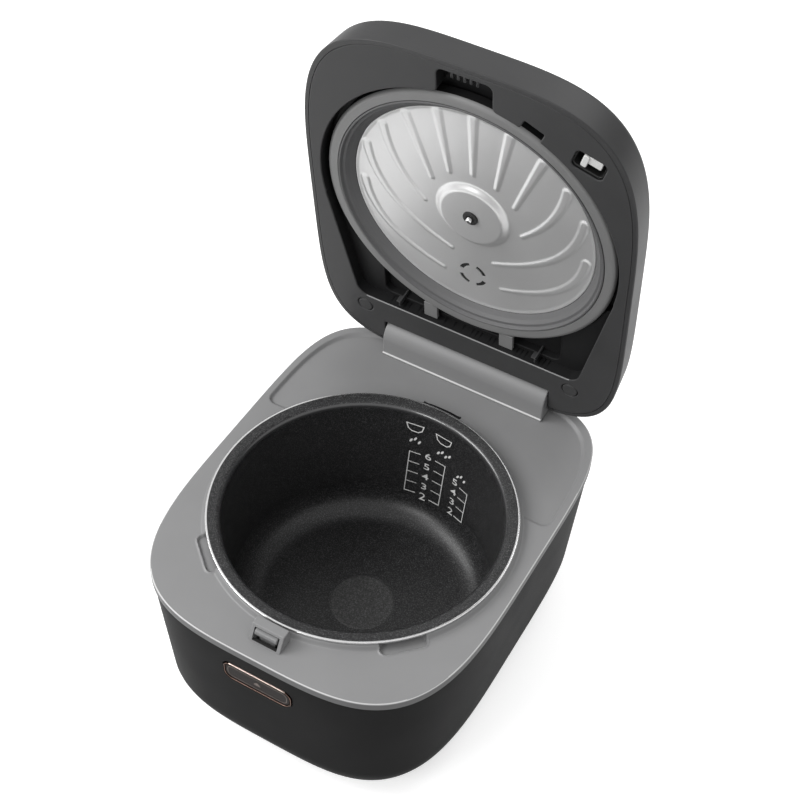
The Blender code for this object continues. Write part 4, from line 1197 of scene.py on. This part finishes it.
def panel():
    """The touch panel with its printed signs, and the display with a lit row of numerals."""
    high = LID_TOP + 0.6
    loops = [rectangle(104.4, 82.4, 8.2, (0.0, PANEL_Y), steps=10)]
    loops.append(hole(rectangle(50.0, 26.0, 2.0, (0.0, DISPLAY_Y))))
    plate = slab(loops, LID_TOP - 0.6, high, 0.4)
    piece("touch_panel", plate, LID, "lid", "gloss_black", "control_panel")
    glass = slab([rectangle(49.4, 25.4, 1.7, (0.0, DISPLAY_Y))], LID_TOP - 0.6, LID_TOP + 0.4, 0.3)
    piece("display_glass", glass, LID, "lid", "display", "display_window")
    marks = []

    def mark(*loops):
        marks.append(slab(loops, high, high + 0.05, 0.0))

    def ring(centre, radius):
        mark(disc(radius, centre, 40), hole(disc(radius - 0.5, centre, 40)))

    for x in (-40.0, 40.0):
        for y in (-26.0, -46.0):
            ring((x, y), 4.2)
            mark(rectangle(3.6, 0.6, 0.2, (x, y)))
            if x > 0:
                mark(rectangle(0.6, 1.4, 0.2, (x, y + 1.2)))
                mark(rectangle(0.6, 1.4, 0.2, (x, y - 1.2)))
    for x in (-30.0, -10.0, 10.0, 30.0):
        mark(rectangle(12.0, 0.6, 0.2, (x, -66.0)))
        ring((x, -75.0), 3.4)
    mark([(-11.4, -77.0), (-8.0, -75.0), (-11.4, -73.0)])
    mark(rectangle(2.6, 2.6, 0.2, (10.0, -75.0)))
    mark(rectangle(0.5, 2.2, 0.1, (30.0, -74.2)))
    mark(rectangle(1.8, 0.5, 0.1, (30.8, -75.2)))
    mark(ellipse((-30.0, -75.0), 2.0, 4.2, radians(-28)))
    print_finish = FINISH["pale_print"]
    piece("panel_marks", together(*marks), LID, "lid", "light_grey_plastic", finish=print_finish)
    lit = []
    top = LID_TOP + 0.4
    bars = ((0, 6, 1), (3, 3, 0), (3, -3, 0), (0, -6, 1), (-3, -3, 0), (-3, 3, 0), (0, 0, 1))
    for left, segments in ((-16.0, "0123456"), (-6.0, "0256"), (6.0, "0123456"), (16.0, "0123456")):
        for number in segments:
            u, v, flat = bars[int(number)]
            size = (5.0, 0.9) if flat else (0.9, 5.0)
            lit.append(slab([rectangle(*size, 0.3, (left + u, DISPLAY_Y + v))], top, top + 0.04, 0.0))
    for v in (-2.5, 2.5):
        lit.append(slab([rectangle(1.1, 1.1, 0.3, (0.0, DISPLAY_Y + v))], top, top + 0.04, 0.0))
    piece("display_digits", together(*lit), LID, "lid", "display", finish=print_finish)


def steam_cap():
    outer = rectangle(50.0, 34.0, 10.0, (0.0, STEAM_Y), steps=10)
    vents = [hole(rectangle(18.0, 2.4, 1.1, (0.0, STEAM_Y + y))) for y in (-5.0, 0.0, 5.0)]
    cap = slab([outer] + vents, LID_TOP + 0.2, LID_TOP + 4.0, 1.4)
    made = solid("vent_cap", cap, FINISH["black_casing"], LID)
    neck = [disc(12.2, (0.0, STEAM_Y)), hole(disc(10.2, (0.0, STEAM_Y)))]
    carve(made, slab(neck, LID_TOP - 2.6, LID_TOP + 0.6, 0.0), LID, "UNION")
    return settle(made, "steam_cap", "black_casing", "steam_cap")


# ---------------------------------------------------------------- stage, light and camera

def stage():
    mesh = bpy.data.meshes.new("floor")
    size = 6.0
    corners = [(-size, -size, 0.0), (size, -size, 0.0), (size, size, 0.0), (-size, size, 0.0)]
    mesh.from_pydata(corners, [], [(0, 1, 2, 3)])
    mesh.materials.append(FINISH["floor"])
    ground = bpy.data.objects.new("floor", mesh)
    bpy.context.scene.collection.objects.link(ground)
    ground.visible_diffuse = False
    # The world darkens towards the ground, and the camera sees plain white behind the object
    world = bpy.data.worlds.new("studio")
    world.use_nodes = True
    nodes = world.node_tree.nodes
    links = world.node_tree.links
    sky = nodes["Background"]
    sky.inputs["Strength"].default_value = 0.8
    place = nodes.new("ShaderNodeTexCoord")
    split = nodes.new("ShaderNodeSeparateXYZ")
    fade = nodes.new("ShaderNodeValToRGB")
    fade.color_ramp.elements[0].position = 0.0
    fade.color_ramp.elements[0].color = (0.04, 0.04, 0.04, 1.0)
    fade.color_ramp.elements[1].position = 0.35
    fade.color_ramp.elements[1].color = (1.0, 1.0, 1.0, 1.0)
    links.new(place.outputs["Generated"], split.inputs["Vector"])
    links.new(split.outputs["Z"], fade.inputs["Fac"])
    seen = nodes.new("ShaderNodeLightPath")
    backdrop = nodes.new("ShaderNodeMix")
    backdrop.data_type = "RGBA"
    backdrop.inputs["B"].default_value = (1.3, 1.3, 1.3, 1.0)
    links.new(seen.outputs["Is Camera Ray"], backdrop.inputs["Factor"])
    links.new(fade.outputs["Color"], backdrop.inputs["A"])
    links.new(backdrop.outputs["Result"], sky.inputs["Color"])
    bpy.context.scene.world = world


def lamp(name, place, aim, size, power):
    data = bpy.data.lights.new(name, "AREA")
    data.shape = "RECTANGLE"
    data.size = size[0]
    data.size_y = size[1]
    data.energy = power
    made = bpy.data.objects.new(name, data)
    made.location = place
    made.rotation_euler = (Vector(aim) - Vector(place)).to_track_quat("-Z", "Y").to_euler()
    bpy.context.scene.collection.objects.link(made)


def camera():
    turn = radians(28.23)
    rise = radians(48.02)
    roll = radians(2.14)
    back = Vector((sin(turn) * cos(rise), -cos(turn) * cos(rise), sin(rise)))
    right = Vector((cos(turn), sin(turn), 0.0))
    up = back.cross(right)
    across = right * cos(roll) + up * sin(roll)
    over = up * cos(roll) - right * sin(roll)
    data = bpy.data.cameras.new("camera")
    data.lens = 67.98
    data.sensor_width = 36.0
    made = bpy.data.objects.new("camera", data)
    aim = Vector((-0.0289, 0.0823, 0.151))
    distance = 1.12466
    place = aim + back * distance
    made.matrix_world = Matrix.Translation(place) @ Matrix((across, over, back)).transposed().to_4x4()
    bpy.context.scene.collection.objects.link(made)
    bpy.context.scene.camera = made


# The floor glows a little, so that it stays white next to the object
glow = FINISH["floor"].node_tree.nodes["Principled BSDF"]
glow.inputs["Emission Color"].default_value = (1.0, 1.0, 1.0, 1.0)
glow.inputs["Emission Strength"].default_value = 0.5

bpy.context.scene.view_settings.view_transform = "Standard"
dress_frame()
stage()
camera()
lamp("key", (-1.3, -0.62, 1.3), (0.0, 0.0, 0.15), (1.1, 0.9), 20.0)
lamp("front", (-0.45, -1.2, 1.0), (0.0, 0.0, 0.2), (0.5, 0.25), 4.5)
lamp("back", (0.3, 1.3, 1.5), (0.0, 0.0, 0.3), (1.0, 0.6), 6.0)
BODY_PIECES = (casing, deck, pot, pot_scale, latch_housing, latch_lever, open_button, hinge_cover, base, well,
               power_inlet)
LID_PIECES = (lid_shell, lid_face, lid_floor, lid_fittings, inner_plate, inner_ring, release_tab, panel,
              steam_cap)
for build in BODY_PIECES + LID_PIECES:
    build()
